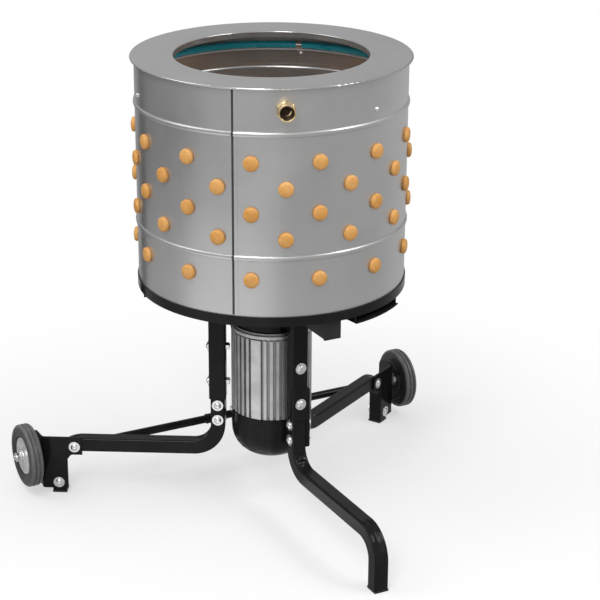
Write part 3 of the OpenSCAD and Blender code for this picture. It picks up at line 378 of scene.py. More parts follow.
def finger_rubber():
    """Orange-tan moulded rubber, each finger a shade of its own."""
    look = Look("finger_rubber", {
        "Subsurface Weight": 0.12,
        "Subsurface Scale": 0.004,
        "Subsurface Radius": (1.0, 0.45, 0.2),
        "Specular IOR Level": 0.4,
    })
    shade = look.node("NewGeometry").outputs["Random Per Island"]
    cloud = look.noise(80, detail=2.0)
    grain = look.noise(1500, detail=2.0)
    tone = look.mix(shade, (0.68, 0.32, 0.070, 1), (0.78, 0.39, 0.11, 1))
    tone = look.mix(look.ramp(cloud, 0.38, 0.66, 0, 0.35), tone, (0.88, 0.52, 0.20, 1))
    normal = look.bump(grain, distance=0.0001, strength=0.25)
    return look.set(tone, look.ramp(cloud, 0.3, 0.7, 0.42, 0.6), normal)


def black_paint():
    """Satin black paint with orange peel, rounded edges and a little grey wear."""
    look = Look("black_paint", {"Specular IOR Level": 0.14})
    edge = look.rounded(0.0012)
    peel = look.noise(420, detail=2.0)
    dust = look.noise(26, detail=6.0, rough=0.6)
    scuffs = look.noise(1.0, detail=5.0, rough=0.65, vector=look.stretched((60, 60, 210)))
    tone = look.mix(look.ramp(dust, 0.45, 0.8), grey(0.011), grey(0.018))
    tone = look.mix(look.ramp(scuffs, 0.66, 0.76, 0, 0.25), tone, grey(0.03))
    normal = look.bump(peel, distance=0.0002, strength=0.10, normal=edge)
    return look.set(tone, look.ramp(dust, 0.3, 0.75, 0.10, 0.20), normal)


def zinc():
    """Bright zinc plating with faint clouding."""
    look = Look("zinc_plate", {"Metallic": 1.0})
    edge = look.rounded(0.0007)
    cloud = look.noise(160, detail=4.0)
    scratch = look.noise(1.0, detail=3.0, rough=0.6, vector=look.stretched((900, 900, 120)))
    tone = look.mix(look.ramp(cloud, 0.3, 0.7), grey(0.78), (0.90, 0.91, 0.92, 1))
    normal = look.bump(scratch, distance=0.00004, strength=0.4, normal=edge)
    return look.set(tone, look.ramp(cloud, 0.3, 0.7, 0.20, 0.36), normal)


def hose_highlight_metal():
    # Pale dull metal of the painted highlight ring under the hose.
    look = Look("hose_highlight_metal", {"Metallic": 0.3})
    cloud = look.noise(120, detail=4.0)
    tone = look.mix(look.ramp(cloud, 0.3, 0.7), (0.66, 0.66, 0.70, 1), (0.80, 0.80, 0.85, 1))
    normal = look.bump(cloud, distance=0.0002, strength=0.2)
    return look.set(tone, look.ramp(cloud, 0.3, 0.7, 0.45, 0.6), normal)


def brass():
    look = Look("turned_brass", {"Metallic": 1.0})
    edge = look.rounded(0.0006)
    cloud = look.noise(140, detail=4.0)
    tone = look.mix(look.ramp(cloud, 0.35, 0.7), (0.76, 0.56, 0.29, 1), (0.93, 0.75, 0.47, 1))
    normal = look.bump(cloud, distance=0.0002, strength=0.15, normal=edge)
    return look.set(tone, look.ramp(cloud, 0.3, 0.7, 0.20, 0.36), normal)


def tarnished_brass():
    """Bore of the inlet, browned by water."""
    look = Look("tarnished_brass", {"Metallic": 0.7})
    cloud = look.noise(260, detail=4.0)
    tone = look.mix(look.ramp(cloud, 0.35, 0.7), (0.025, 0.015, 0.008, 1), (0.07, 0.044, 0.018, 1))
    normal = look.bump(cloud, distance=0.0002, strength=0.3)
    return look.set(tone, look.ramp(cloud, 0.3, 0.7, 0.35, 0.55), normal)


def cast_aluminium():
    """Sand-cast motor body: fine grain, with painted shade in the valleys between the fins."""
    look = Look("cast_aluminium", {"Metallic": 0.85})
    edge = look.rounded(0.0009)
    grain = look.noise(900, detail=3.0)
    cloud = look.noise(30, detail=5.0)
    fin_from, fin_to = FIN_FOOT_R + 0.0005, FIN_FOOT_R + 0.004
    out_of_valley_shade = look.ramp(look.away(AXIS, (1, 1, 0)), fin_from, fin_to)
    tone = look.mix(look.ramp(cloud, 0.35, 0.7), grey(0.55), grey(0.70))
    # Painted shade: the valleys between the fins get a darker grey than the fins.
    tone = look.mix(out_of_valley_shade, grey(0.35), tone)
    normal = look.bump(grain, distance=0.0002, strength=0.4, normal=edge)
    return look.set(tone, look.ramp(grain, 0.3, 0.7, 0.36, 0.52), normal)


def machined_steel():
    look = Look("machined_steel", {"Metallic": 1.0})
    lines = look.noise(1.0, detail=3.0, rough=0.6, vector=look.stretched((40, 40, 1500)))
    oil = look.noise(45, detail=4.0)
    tone = look.mix(look.ramp(oil, 0.35, 0.7), grey(0.30), grey(0.44))
    normal = look.bump(lines, distance=0.00006, strength=0.5, normal=look.rounded(0.0005))
    return look.set(tone, look.ramp(lines, 0.3, 0.7, 0.22, 0.4), normal)


def winding():
    look = Look("varnished_winding", {"Metallic": 0.6, "Coat Weight": 0.5})
    strands = look.noise(1.0, detail=2.0, vector=look.stretched((140, 140, 1400)))
    tone = look.mix(look.ramp(strands, 0.35, 0.7), (0.30, 0.10, 0.03, 1), (0.58, 0.26, 0.09, 1))
    normal = look.bump(strands, distance=0.0006, strength=0.6)
    return look.set(tone, look.ramp(strands, 0.3, 0.7, 0.3, 0.5), normal)


def moulded_plastic(name, level, rough):
    look = Look(name, {"Specular IOR Level": 0.45})
    grain = look.noise(1100, detail=2.0)
    cloud = look.noise(35, detail=4.0)
    lighter = 1.6 * level + 0.004
    tone = look.mix(look.ramp(cloud, 0.35, 0.75), grey(level), grey(lighter))
    normal = look.bump(grain, distance=0.00012, strength=0.4, normal=look.rounded(0.0006))
    return look.set(tone, look.ramp(cloud, 0.3, 0.7, rough, rough + 0.14), normal)


def hose_plastic():
    """Teal hose with a faint braid under a glossy skin."""
    look = Look("teal_hose", {"Specular IOR Level": 0.5, "Coat Weight": 0.4, "Coat Roughness": 0.1})
    cells = look.node("TexVoronoi", {"Vector": look.place, "Scale": 330.0}, feature="DISTANCE_TO_EDGE")
    braid = cells.outputs["Distance"]
    cloud = look.noise(22, detail=3.0)
    # Painted light: these tones are brighter than the hose's own teal, to make up for the dim inside of the
    # barrel.
    tone = look.mix(look.ramp(cloud, 0.35, 0.7), (0.008, 0.60, 0.84, 1), (0.014, 0.72, 0.95, 1))
    tone = look.mix(look.ramp(braid, 0.02, 0.10, 0.35, 0), tone, (0.04, 0.62, 0.72, 1))
    normal = look.bump(braid, distance=0.0002, strength=0.25)
    return look.set(tone, look.ramp(cloud, 0.3, 0.7, 0.22, 0.34), normal)


def tyre_rubber():
    """Dark wheel rubber, lighter grey on the tread: partly dust, partly painted light. Both wheels share the
    axle line.
    """
    tread_from, tread_to = 0.0555, 0.0605
    look = Look("tyre_rubber", {"Specular IOR Level": 0.4})
    grain = look.noise(700, detail=3.0)
    dust = look.noise(48, detail=6.0, rough=0.62)
    dusty_lit_tread = look.ramp(look.away(middle("tyre_left"), (0, 1, 1)), tread_from, tread_to)
    face = look.mix(look.ramp(dust, 0.4, 0.78), grey(0.028), grey(0.05, warm=0.03))
    # The tread's lighter grey is partly dust and partly painted light.
    tread = look.mix(look.ramp(dust, 0.3, 0.7), grey(0.12), grey(0.19, warm=0.02))
    normal = look.bump(grain, distance=0.0003, strength=0.4)
    return look.set(look.mix(dusty_lit_tread, face, tread), look.ramp(dust, 0.3, 0.75, 0.30, 0.46), normal)


def spun_steel():
    """Zinc-plated wheel dish, spun, so that light fans out from its middle."""
    look = Look("spun_steel", {"Metallic": 1.0, "Anisotropic": 0.75})
    cloud = look.noise(90, detail=4.0)
    tone = look.mix(look.ramp(cloud, 0.3, 0.7), grey(0.70), grey(0.92))
    around = look.node("Tangent", direction_type="RADIAL", axis="X").outputs["Tangent"]
    look.feed(look.shader.inputs["Tangent"], around)
    normal = look.bump(cloud, distance=0.0003, strength=0.2)
    return look.set(tone, look.ramp(cloud, 0.3, 0.7, 0.26, 0.38), normal)


def seam_shadow():
    # Near-black strip that paints the shadow in the seam's gap.
    look = Look("seam_gap_shadow", {"Metallic": 0.6})
    cloud = look.noise(200, detail=3.0)
    tone = look.mix(look.ramp(cloud, 0.3, 0.7), grey(0.045), grey(0.09))
    normal = look.bump(cloud, distance=0.0003, strength=0.3)
    return look.set(tone, look.ramp(cloud, 0.3, 0.7, 0.5, 0.7), normal)


SLOT_LOOKS = {
    "stainless": stainless("stainless_sheet", seamed=False, rough=0.21),
    "finger_rubber": finger_rubber(),
    "hose": hose_plastic(),
    "brass": brass(),
    "black_paint": black_paint(),
    "zinc": zinc(),
    "cast_aluminium": cast_aluminium(),
    "machined_steel": machined_steel(),
    "winding": winding(),
    "black_plastic": moulded_plastic("black_plastic", level=0.012, rough=0.42),
    "seal_rubber": moulded_plastic("seal_rubber", level=0.014, rough=0.6),
    "tyre": tyre_rubber(),
}
for subpart in frame["record"]["subparts"]:
    solid = nodes[subpart["node"]]
    solid.data.materials.clear()
    solid.data.materials.append(SLOT_LOOKS[subpart["material_slot"]])
nodes["barrel_shell"].data.materials[0] = stainless("barrel_sheet", seamed=True, rough=0.32)
PAINT = SLOT_LOOKS["black_paint"]


# Stand

def hollow_tube(bm, w, h, length, matrix):
    """Straight tube along local Z with rounded corners and open ends."""
    outer = rounded_rect(w, h, TUBE_CORNER)
    inner = rounded_rect(w - 2 * TUBE_WALL, h - 2 * TUBE_WALL, TUBE_INNER_CORNER)
    foot = [(inner, TUBE_DEEP), (inner, 0), (outer, 0)]
    head = [(outer, length), (inner, length), (inner, length - TUBE_DEEP)]
    stacked(bm, foot + head, matrix)


def plate(bm, w, h, t, matrix):
    """Flat plate with rounded corners, t thick along local Z."""
    edge = 0.0006
    full = rounded_rect(w, h, TAB_CORNER)
    small = rounded_rect(w - 2 * edge, h - 2 * edge, TAB_CORNER - edge)
    stacked(bm, [(small, 0), (full, edge), (full, t - edge), (small, t)], matrix)


def weld(bm, path, r, closed):
    """Weld bead along a path: a thin round run with even waves and uneven lumps."""
    pitch = 0.0022
    rings_per_wave = 4
    wave_share = 0.16
    lump_share = 0.25
    lump_scale = 160
    sides = 8
    line = resampled(path, pitch / rings_per_wave, closed)
    rings = []
    count = len(line)
    for i, p in enumerate(line):
        after = line[(i + 1) % count] if closed else line[min(i + 1, count - 1)]
        before = line[i - 1] if closed or i else line[0]
        along = (after - before).normalized()
        side = along.orthogonal().normalized()
        up = along.cross(side)
        wave = wave_share * math.sin(2 * math.pi * i / rings_per_wave)
        fat = r * (1 + wave + lump_share * noise.noise(p * lump_scale))
        rings.append([bm.verts.new(p + fat * (math.cos(a) * side + math.sin(a) * up)) for a in turns(sides)])
    for a, b in zip(rings, rings[1:] + rings[:1] if closed else rings[1:]):
        bridge_near(bm, a, b)
    if not closed:
        bm.faces.new(rings[0])
        bm.faces.new(rings[-1])


def bridge_near(bm, a, b):
    """Joins two rings from the pair of points that lie nearest."""
    start = min(range(len(a)), key=lambda k: (b[k].co - a[0].co).length)
    bridge(bm, a, b[start:] + b[:start])


def resampled(path, step, closed):
    """Points along a path, about step apart."""
    points = [Vector(p) for p in path] + ([Vector(path[0])] if closed else [])
    made = []
    for a, b in zip(points, points[1:]):
        count = max(1, round((b - a).length / step))
        made += [a.lerp(b, i / count) for i in range(count)]
    return made if closed else made + [points[-1]]


def stand_post(name):
    """Post with its beam, the plate on its side that holds the leg, and the welds."""
    bm = bmesh.new()
    turn = about_axis(LEG_ANGLES[name])
    hollow_tube(bm, POST_W, POST_W, POST_LEN, turn @ Matrix.Translation((POST_R, 0, POST_Z)))
    inner = POST_R - POST_W / 2
    lying = turn @ Matrix.Translation((inner, 0, BEAM_Z + BEAM_H / 2)) @ turned(90, "Y")
    hollow_tube(bm, BEAM_H, POST_W, BEAM_R - inner, lying)
    side = TAB_SIDE[name]
    tab = (POST_W / 2, TAB_HIGH, TAB_T)
    filler = (LEG_W / 2, POST_Z, FILLER_T)
    for out, high, thick in (tab, filler):
        spot = turn @ Matrix.Translation((POST_R, side * out, (TAB_LOW + high) / 2)) @ turned(-90 * side, "X")
        plate(bm, TAB_W, high - TAB_LOW, thick, spot)
    outline = rounded_rect(POST_W, POST_W, TUBE_CORNER)
    weld(bm, [turn @ Vector((POST_R + x, y, BEAM_Z)) for x, y in outline], POST_WELD_R, closed=True)
    weld_y = side * (POST_W / 2 + TAB_WELD_OUT)
    weld_ends = (POST_Z + TAB_WELD_INSET, TAB_HIGH - TAB_WELD_INSET)
    for edge in (-TAB_W / 2, TAB_W / 2):
        weld(bm, [turn @ Vector((POST_R + edge, weld_y, z)) for z in weld_ends], TAB_WELD_R, closed=False)
    piece(f"post_{name}_tube", bm, "frame", PAINT, [f"post_{name}"])


def leg_line():
    """Middle line of a leg as (reach, height, heading, share of the bend done, which bend)."""
    line = [(POST_R, LEG_TOP, 270, 0, 0)]
    for i in range(BEND_STEPS + 1):
        a = 180 + 90 * i / BEND_STEPS
        s, z = on_circle((POST_R + BEND_R, ARM_Z + BEND_R), BEND_R, a)
        line.append((s, z, a + 90, i / BEND_STEPS, 1))
    for i in range(BEND_STEPS + 1):
        a = 90 - 90 * i / BEND_STEPS
        s, z = on_circle((FOOT_R - BEND_R, ARM_Z - BEND_R), BEND_R, a)
        line.append((s, z, a - 90, i / BEND_STEPS, 2))
    return line + [(FOOT_R, FOOT_Z, 270, 0, 0)]


def hump(t, centre, width):
    return math.exp(-((t - centre) / width) ** 2)


def straight(t, y):
    """No hollow outside the bends."""
    return 0


def crease(t, y):
    """How deep the inner wall lies in the first bend: two hollows with a sharp fold between them."""
    flat = max(0.0, 1 - (2 * y / (LEG_W - 2 * TUBE_CORNER)) ** 2)
    hollows = hump(t, centre=0.36, width=0.17) + 0.8 * hump(t, centre=0.74, width=0.15)
    return flat * (DENT * hollows - WRINKLE * hump(t, centre=0.55, width=0.055))


def valley(t, y):
    """How deep the outer wall lies in the second bend: a hollow that widens down the leg."""
    half_start = 0.0020
    half_growth = 0.0085
    run_out = 1.02
    deep = DENT * math.sin(math.pi * min(1, t * run_out))
    return deep * max(0.0, 1 - abs(y) / (half_start + half_growth * t))


def faceted(a, b):
    """Points from a towards b, b left out."""
    count = max(1, round(math.dist(a, b) / FACET_W))
    return [(a[0] + (b[0] - a[0]) * i / count, a[1] + (b[1] - a[1]) * i / count) for i in range(count)]


def stand_leg(name):
    """Bent square tube: its inner wall wrinkles in the first bend, its outer wall sinks in the second."""
    bm = bmesh.new()
    turn = about_axis(LEG_ANGLES[name])
    outline = rounded_rect(LEG_W, LEG_W, TUBE_CORNER)
    fine = [p for a, b in zip(outline, outline[1:] + outline[:1]) for p in faceted(a, b)]
    rings = []
    sunk = [straight, crease, valley]
    for s, z, heading, share, bend in leg_line():
        a = math.radians(heading)
        points = []
        for x, y in fine:
            depth = x - sunk[bend](share, y) if x > LEG_W / 2 - TUBE_CORNER else x
            points.append((s - math.sin(a) * depth, y, z + math.cos(a) * depth))
        rings.append(ring(bm, points, turn))
    skin(bm, rings)
    piece(f"leg_{name}_tube", bm, "frame", PAINT, [f"leg_{name}"])


for leg in LEG_ANGLES:
    stand_post(leg)
    stand_leg(leg)


# Fingers

def finger_profile(grip):
    """Outline of a finger: domed head, neck in the sheet, shoulder, ribs and round tip."""
    head_r = 0.014
    head_t = 0.009
    # The head's edge is an arc that starts 70 degrees below its middle
    edge = 0.0050
    edge_in = 0.658 * edge
    edge_up = 0.94 * edge
    crown = 0.0016
    foot_h = 0.0012
    foot_bevel = 0.0006
    foot_gap = 0.0001
    neck_r = 0.0095
    shoulder_r = 0.0125
    shoulder_top = grip + 0.006
    bevel_in, bevel_up = 0.0008, 0.001
    rib_r = shoulder_r - 0.001
    rib_deep = 0.0018
    ribs = 5
    tip_r = 0.0058
    length = 0.080
    line = [((head_r - edge_in) * t, crown * t * t - head_t) for t in (0, 0.25, 0.5, 0.75, 0.92)]
    line += arc((head_r - edge, crown + edge_up - head_t), edge, -70, 0, steps=6)
    line += [(head_r, -foot_h), (head_r - foot_bevel, -foot_gap), (neck_r, 0), (neck_r, grip)]
    line += [(shoulder_r, grip), (shoulder_r, shoulder_top - bevel_up), (shoulder_r - bevel_in, shoulder_top)]
    pitch = (length - tip_r - shoulder_top) / ribs
    for i in range(ribs):
        r = rib_r - i * (rib_r - tip_r) / ribs
        for t in (0.1, 0.3, 0.5, 0.7, 0.9):
            line.append((r - rib_deep * (1 - math.sin(math.pi * t)), shoulder_top + pitch * (i + t)))
    tip = arc((0, length - tip_r), tip_r, 5, 90, steps=6)
    return line + tip[:-1] + [(0, length)]


def finger_set(name, node, body, places, grip):
    bm = bmesh.new()
    profile = finger_profile(grip)
    for place in places:
        lathe(bm, profile, place, FINGER_STEPS)
    piece(name, bm, body, SLOT_LOOKS["finger_rubber"], [node])


def wall_places():
    step = 360 / FINGERS_PER_ROW
    for height, shifted in ROWS:
        for k in range(FINGERS_PER_ROW):
            at = (BARREL_R + HEAD_GAP, 0, BARREL_Z + height)
            yield about_axis(ROW_ANGLE + step * (k - shifted / 2), at) @ turned(-90, "Y")


def plate_places():
    plate_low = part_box("rotor_hub")[1].z
    for count, r in PLATE_RINGS:
        for k in range(count):
            yield about_axis(360 * k / count, (r, 0, plate_low - HEAD_GAP))


finger_set("barrel_finger_set", "barrel_fingers", "frame", wall_places(), WALL_GRIP)
finger_set("plate_finger_set", "plate_fingers", "rotor", plate_places(), PLATE_GRIP)


# Barrel seam

def seam_gap_shadow():
    """Painted shadow of the gap beside the folded seam: a dark strip along the wall and over its beads."""
    gap_angle = 1.0
    proud = 0.0004
    sunk = 0.0006
    bead_out = 0.003
    bead_half = 0.005
    pan_rim_h = 0.017
    lid_gap = 0.0005
    steps = 240
    low, high = BARREL_Z + pan_rim_h, BARREL_HIGH.z - lid_gap
    corners = [(-gap_angle, -sunk), (-gap_angle, proud / 4), (0, proud), (0, -sunk)]
    bm = bmesh.new()
    rings = []
    for i in range(steps + 1):
        z = low + (high - low) * i / steps
        out = max(bead_out * math.sqrt(max(0, 1 - ((z - bead) / bead_half) ** 2)) for bead in BEADS)
        wall = BARREL_R + out
        points = [about_axis(SEAM_ANGLE + turn) @ Vector((wall + lift, 0, z)) for turn, lift in corners]
        rings.append([bm.verts.new(p) for p in points])
    skin(bm, rings)
    piece("seam_gap_shadow", bm, "frame", seam_shadow())


seam_gap_shadow()


# Water inlet, and the pale ring under the hose that paints a highlight. The inlet's local Z points out of the
# barrel.

INLET_STEPS = 64
INLET_BORE = 0.0127
NUT_H = 0.0080


def inlet_socket(place):
    """Brass nut with wrench flats and a sleeve that flares to a round lip."""
    nut_sunk = 0.001
    nut_r = 0.0174
    nut_flat = 0.0158
    nut_bevel = 0.0018
    overlap = 0.0001
    sleeve_r = 0.0153
    sleeve_bevel = 0.0005
    lip = 0.0010
    lip_r = 0.0157
    lip_z = 0.0230
    bm = bmesh.new()
    rings = []
    for z, widest in ((-nut_sunk, nut_r), (NUT_H - nut_bevel, nut_r), (NUT_H, nut_r - nut_bevel)):
        points = []
        for a in turns(INLET_STEPS):
            r = min(widest, nut_flat / math.cos(a % (math.pi / 3) - math.pi / 6))
            points.append((r * math.cos(a), r * math.sin(a), z))
        rings.append(ring(bm, points, place))
    skin(bm, rings)
    sleeve_z = NUT_H - overlap
    line = [(INLET_BORE, sleeve_z), (sleeve_r - sleeve_bevel, sleeve_z), (sleeve_r, sleeve_z + sleeve_bevel)]
    line += arc((lip_r - lip, lip_z), lip, 0, 90, steps=5)
    line += arc((INLET_BORE + lip, lip_z), lip, 90, 180, steps=5)
    lathe_loop(bm, line + [line[0]], place, INLET_STEPS)
    seat_highlight(bm, place)
    piece("inlet_socket", bm, "frame", SLOT_LOOKS["brass"], ["inlet_fitting"])


def seat_highlight(bm, place):
    """Painted highlight on the seat of the bore: a bright brass crescent at its lower right."""
    steps = 24
    sides = 10
    r = 0.0078
    seat_z = 0.0104
    thick = 0.0021
    first, span = -15, 120
    rings = []
    for i in range(1, steps):
        a = math.radians(first + span * i / steps)
        fat = thick * math.sin(math.pi * i / steps)
        around = [(r + fat * math.cos(b), seat_z + fat * math.sin(b)) for b in turns(sides)]
        rings.append(ring(bm, [(s * math.cos(a), s * math.sin(a), z) for s, z in around], place))
    skin(bm, rings)


def inlet_thread(place):
    """Dark lining of the bore: threads above a seat with a small hole."""
    threads = 7
    pitch = 0.0016
    mouth_z = 0.0226
    first_z = 0.0222
    crest_r = INLET_BORE - 0.0012
    root_r = INLET_BORE - 0.0002
    crest_top, crest_low, root_low = 0.0004, 0.0007, 0.0012
    seat_z = 0.0100
    hole_r = 0.0046
    hole_bevel = 0.0004
    hole_z = 0.0086
    line = [(0, NUT_H), (INLET_BORE, NUT_H), (INLET_BORE, mouth_z)]
    for k in range(threads):
        top = first_z - k * pitch
        line += [(crest_r, top - crest_top), (crest_r, top - crest_low), (root_r, top - root_low)]
    line += [(hole_r + hole_bevel, seat_z), (hole_r, seat_z - hole_bevel), (hole_r, hole_z), (0, hole_z)]
    bm = bmesh.new()
    lathe(bm, line, place, INLET_STEPS)
    piece("inlet_thread", bm, "frame", tarnished_brass())


def hose_highlight_ring():
    """Pale thin ring just under the hose: a painted highlight along the hose's lower edge."""
    ring_r = 0.0019
    drop = 0.0094
    bm = bmesh.new()
    outline = arc((HOSE_RING_R, HOSE_Z - drop), ring_r, 0, 360, steps=12)
    lathe_loop(bm, outline, about_axis(), steps=180)
    piece("hose_highlight_ring", bm, "frame", hose_highlight_metal())


inlet_place = about_axis(INLET_ANGLE, (BARREL_R, 0, HOSE_Z)) @ turned(90, "Y")
inlet_socket(inlet_place)
inlet_thread(inlet_place)
hose_highlight_ring()


# Wheels: turned about the axle, outer face towards local +Z

DISH = spun_steel()


def tyre_profile(half, r):
    """Outline of a tyre: hollow inner face, tread with two grooves, outer face with a ring and a bowl."""
    shoulder = 0.007
    groove_at = 0.004
    ridge_half = 0.0012
    # Radius and depth below the inner or outer face
    inner_face = ((HUB_R + HUB_GAP, 0), (0.030, 0), (0.031, 0.0012), (0.044, 0.0012), (0.0455, 0))
    outer_ring = ((0.0490, 0), (0.0482, 0.0008), (0.0466, 0.0008), (0.0458, 0.0002))
    outer_bowl = ((DISC_R + 0.005, 0.0006), (DISC_R + 0.002, 0.002), (DISC_R + 0.0008, 0.004))
    seat = ((DISC_R, DISC_DEEP), (HUB_R + HUB_GAP, DISC_DEEP))
    # Depth below the tread and distance from a groove's middle
    wall = ((0.0003, 0.0022), (0.0012, 0.0016), (0.003, 0.00096))
    groove = [(deep, -off) for deep, off in wall] + [(deep, off) for deep, off in reversed(wall)]
    line = [(x, deep - half) for x, deep in inner_face]
    line += arc((r - shoulder, shoulder - half), shoulder, -90, -10, steps=8)
    line += [(r - deep, off - groove_at) for deep, off in groove]
    line += [(r, -ridge_half), (r, ridge_half)]
    line += [(r - deep, off + groove_at) for deep, off in groove]
    line += arc((r - shoulder, half - shoulder), shoulder, 10, 90, steps=8)
    line += [(x, half - deep) for x, deep in outer_ring + outer_bowl + seat]
    return line + [line[0]]


def hub_profile(half):
    """Outline of a hub: a bush on the axle, a dish with a rolled rim, and a boss."""
    bevel = 0.0008
    disc_z = half - DISC_DEEP
    roll = 0.0012
    roll_at = (DISC_R - 0.0016, disc_z + 0.0018)
    boss_r = HUB_R - 0.001
    boss_edge = half - 0.0012
    boss_round = 0.0024
    boss_round_at = (boss_r - boss_round, half - 0.0014)
    boss_top = half + 0.001
    # Radius and height above the disc's seat
    rim = ((HUB_R, HUB_GAP), (DISC_R - 0.0004, HUB_GAP))
    dish = ((DISC_R - 0.005, 0.0012), (HUB_R + 0.011, 0.0006), (HUB_R + 0.004, 0.0022))
    line = [(AXLE_R, -half), (HUB_R - bevel, -half), (HUB_R, bevel - half)]
    line += [(x, disc_z + up) for x, up in rim]
    line += arc(roll_at, roll, 0, 120, steps=5)
    line += [(x, disc_z + up) for x, up in dish]
    line += [(boss_r, boss_edge)]
    line += arc(boss_round_at, boss_round, 0, 90, steps=5)
    return line + [(AXLE_R, boss_top), (AXLE_R, -half)]


def wheel(side):
    low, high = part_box(f"tyre_{side}")
    half = (high.x - low.x) / 2
    r = (high.z - low.z) / 2
    outward = -90 if side == "left" else 90
    place = Matrix.Translation(middle(f"tyre_{side}")) @ turned(outward, "Y")
    bm = bmesh.new()
    lathe_loop(bm, tyre_profile(half, r), place, WHEEL_STEPS)
    piece(f"tyre_{side}_tread", bm, f"wheel_{side}", SLOT_LOOKS["tyre"], [f"tyre_{side}"])
    bm = bmesh.new()
    lathe_loop(bm, hub_profile(half), place, WHEEL_STEPS)
    piece(f"wheel_dish_{side}", bm, f"wheel_{side}", DISH, [f"wheel_hub_{side}"])


wheel("left")
wheel("right")


# Studio

# Light of the world at the horizon and overhead, and the range that reflections see of it
WORLD_LIGHT = (0.06, 0.66)
WORLD_SHOWN = (0.37, 0.475)
# What reflections see of the floor: level by angle about the axis, in degrees, from a start behind it
FLOOR_START = 63
FLOOR_CARDS = [
    (63, 0.56), (98, 0.50), (103, 0.0), (113, 0.0), (118, 0.44), (160, 0.46), (184, 1.0),
    (236, 1.0), (254, 0.50), (330, 0.43), (372, 0.57), (400, 0.55), (423, 0.56),
]
# The same, beyond a band of distances
FAR_BAND = (1.95, 2.25)
FAR_CARDS = [
    (63, 0.56), (98, 0.40), (103, 0.0), (113, 0.0), (118, 0.20), (180, 0.20), (192, 0.30),
    (240, 0.42), (256, 0.42), (330, 0.46), (372, 0.57), (400, 0.55), (423, 0.56),
]
# Level of the floor as it lights the object
FLOOR_LIGHT = 0.42
# Band over which the shadow gives way to white, and the share of white where it starts
SHADOW_BAND = (0.35, 1.2)
SHADOW_WHITE = 0.5
FLOOR_R = 14
FLOOR_STEPS = 96
LAMP_AIM = (AXIS.x, AXIS.y, 0.5)
FRONT_BEND = (AXIS.x, LEG_FRONT_LOW.y + BEND_R, ARM_Z)


def area_light(name, at, aim, size, power):
    data = bpy.data.lights.new(name, "AREA")
    data.shape = "RECTANGLE"
    data.size, data.size_y = size
    data.energy = power
    made = bpy.data.objects.new(name, data)
    made.location = at
    made.rotation_euler = (Vector(aim) - Vector(at)).to_track_quat("-Z", "Y").to_euler()
    bpy.context.scene.collection.objects.link(made)


def ray_kinds(tree):
    """Camera rays, glossy rays, and all rays that see the background: those two and rays through glass."""
    path = tree.node("LightPath").outputs
    camera, glossy = path["Is Camera Ray"], path["Is Glossy Ray"]
    seen = tree.math("MAXIMUM", tree.math("MAXIMUM", camera, glossy), path["Is Transmission Ray"])
    return camera, glossy, seen


def studio_world():
    """White to the eye, lower and a little uneven in reflections, and a soft light from above."""
    world = bpy.data.worlds.new("studio")
    bpy.context.scene.world = world
    world.use_nodes = True
    world.node_tree.nodes.clear()
    tree = NodeTree(world.node_tree)
    camera, _, seen = ray_kinds(tree)
    place = tree.node("TexCoord").outputs["Generated"]
    height = tree.node("SeparateXYZ", {0: place}).outputs["Z"]
    rise = tree.node("MapRange", {"Value": height, "To Min": WORLD_LIGHT[0], "To Max": WORLD_LIGHT[1]})
    light = tree.node("Background", {"Color": (1, 1, 1, 1), "Strength": rise.outputs[0]})
    bands = tree.node("Mapping", {"Vector": place, "Scale": (1.7, 1.7, 0.35)})
    cloud = tree.node("TexNoise", {"Vector": bands.outputs[0], "Scale": 1.9, "Detail": 1.0})
    level = tree.node("MapRange", {
        "Value": cloud.outputs["Fac"],
        "From Min": 0.35,
        "From Max": 0.65,
        "To Min": WORLD_SHOWN[0],
        "To Max": WORLD_SHOWN[1],
    })
    tone = tree.math("MAXIMUM", level.outputs[0], camera)
    shown = tree.node("Background", {"Color": tone, "Strength": 1.0})
    mix = tree.node("MixShader", {0: seen, 1: light.outputs[0], 2: shown.outputs[0]})
    tree.node("OutputWorld", {"Surface": mix.outputs[0]})


def card_ramp(look, turn, cards):
    """Level of the cards by the share of a turn."""
    made = look.node("ValToRGB", {"Fac": turn})
    made.color_ramp.interpolation = "EASE"
    # A new ramp has two stops
    stops = made.color_ramp.elements
    for k, (at, level) in enumerate(cards):
        stop = stops[k] if k < 2 else stops.new(1.0)
        stop.position = (at - FLOOR_START) / 360
        stop.color = grey(level)
    return made.outputs["Color"]


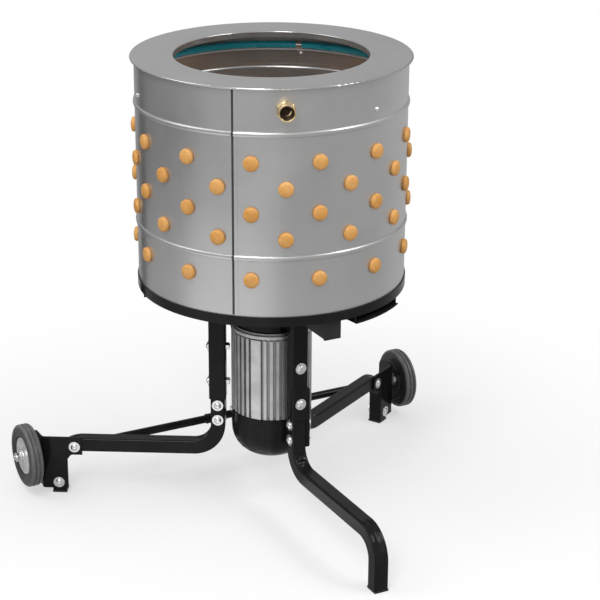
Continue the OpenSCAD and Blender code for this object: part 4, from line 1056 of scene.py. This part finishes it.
def floor_look():
    """Pale floor that keeps the shadow near the object and is white farther out."""
    look = Look("studio_floor", {"Roughness": 0.9, "Specular IOR Level": 0.1})
    camera, glossy, seen = ray_kinds(look)
    pale = look.mix(look.noise(1.5, detail=2.0), grey(0.93), grey(0.95))
    look.feed(look.shader.inputs["Base Color"], look.mix(camera, grey(FLOOR_LIGHT), pale))
    away = look.away(AXIS, (1, 1, 0))
    band = {"Value": away, "From Min": SHADOW_BAND[0], "From Max": SHADOW_BAND[1], "To Min": SHADOW_WHITE}
    white = look.node("MapRange", band, interpolation_type="SMOOTHSTEP").outputs[0]
    share = look.math("MAXIMUM", look.math("MULTIPLY", seen, white), glossy)
    turn = look.math("DIVIDE", look.bearing(AXIS), 2 * math.pi)
    turn = look.math("FRACT", look.math("SUBTRACT", turn, FLOOR_START / 360))
    near = card_ramp(look, turn, FLOOR_CARDS)
    cards = look.mix(look.ramp(away, *FAR_BAND), near, card_ramp(look, turn, FAR_CARDS))
    glow = look.node("Emission", {"Color": look.mix(glossy, grey(1.0), cards), "Strength": 1.0})
    mix = look.node("MixShader", {0: share, 1: look.shader.outputs[0], 2: glow.outputs[0]})
    look.feed(look.tree.nodes["Material Output"].inputs["Surface"], mix.outputs[0])
    return look.material


def studio_floor():
    bm = bmesh.new()
    bmesh.ops.create_circle(bm, cap_ends=True, radius=FLOOR_R, segments=FLOOR_STEPS)
    mesh = bpy.data.meshes.new("floor")
    bm.to_mesh(mesh)
    bm.free()
    mesh.materials.append(floor_look())
    made = bpy.data.objects.new("floor", mesh)
    bpy.context.scene.collection.objects.link(made)


def photo_camera():
    data = bpy.data.cameras.new("photo_camera")
    data.sensor_width = CAMERA_SENSOR
    data.lens = CAMERA_LENS
    data.shift_x = CAMERA_SHIFT
    data.clip_end = CAMERA_REACH
    made = bpy.data.objects.new("photo_camera", data)
    made.location = Vector(CAMERA_AT) + Vector((0, 0, BARREL_Z))
    made.rotation_euler = (math.radians(90 - CAMERA_PITCH), 0, math.radians(-CAMERA_HEADING))
    bpy.context.scene.collection.objects.link(made)
    bpy.context.scene.camera = made


area_light("lamp_front", (-1.75, -1.75, 3.1), LAMP_AIM, size=(1.1, 2.0), power=54)
area_light("lamp_left", (-2.6, 0.9, 2.9), LAMP_AIM, size=(2.0, 2.0), power=28)
area_light("lamp_right", (2.0, -1.7, 3.0), LAMP_AIM, size=(1.4, 1.4), power=30)
area_light("lamp_leg", (1.1, -1.75, 2.0), FRONT_BEND, size=(0.22, 0.22), power=7)
area_light("lamp_low", (-1.65, -3.3, 1.95), LAMP_AIM, size=(3.2, 2.2), power=13)
studio_world()
studio_floor()
photo_camera()
bpy.context.scene.view_settings.view_transform = "Standard"
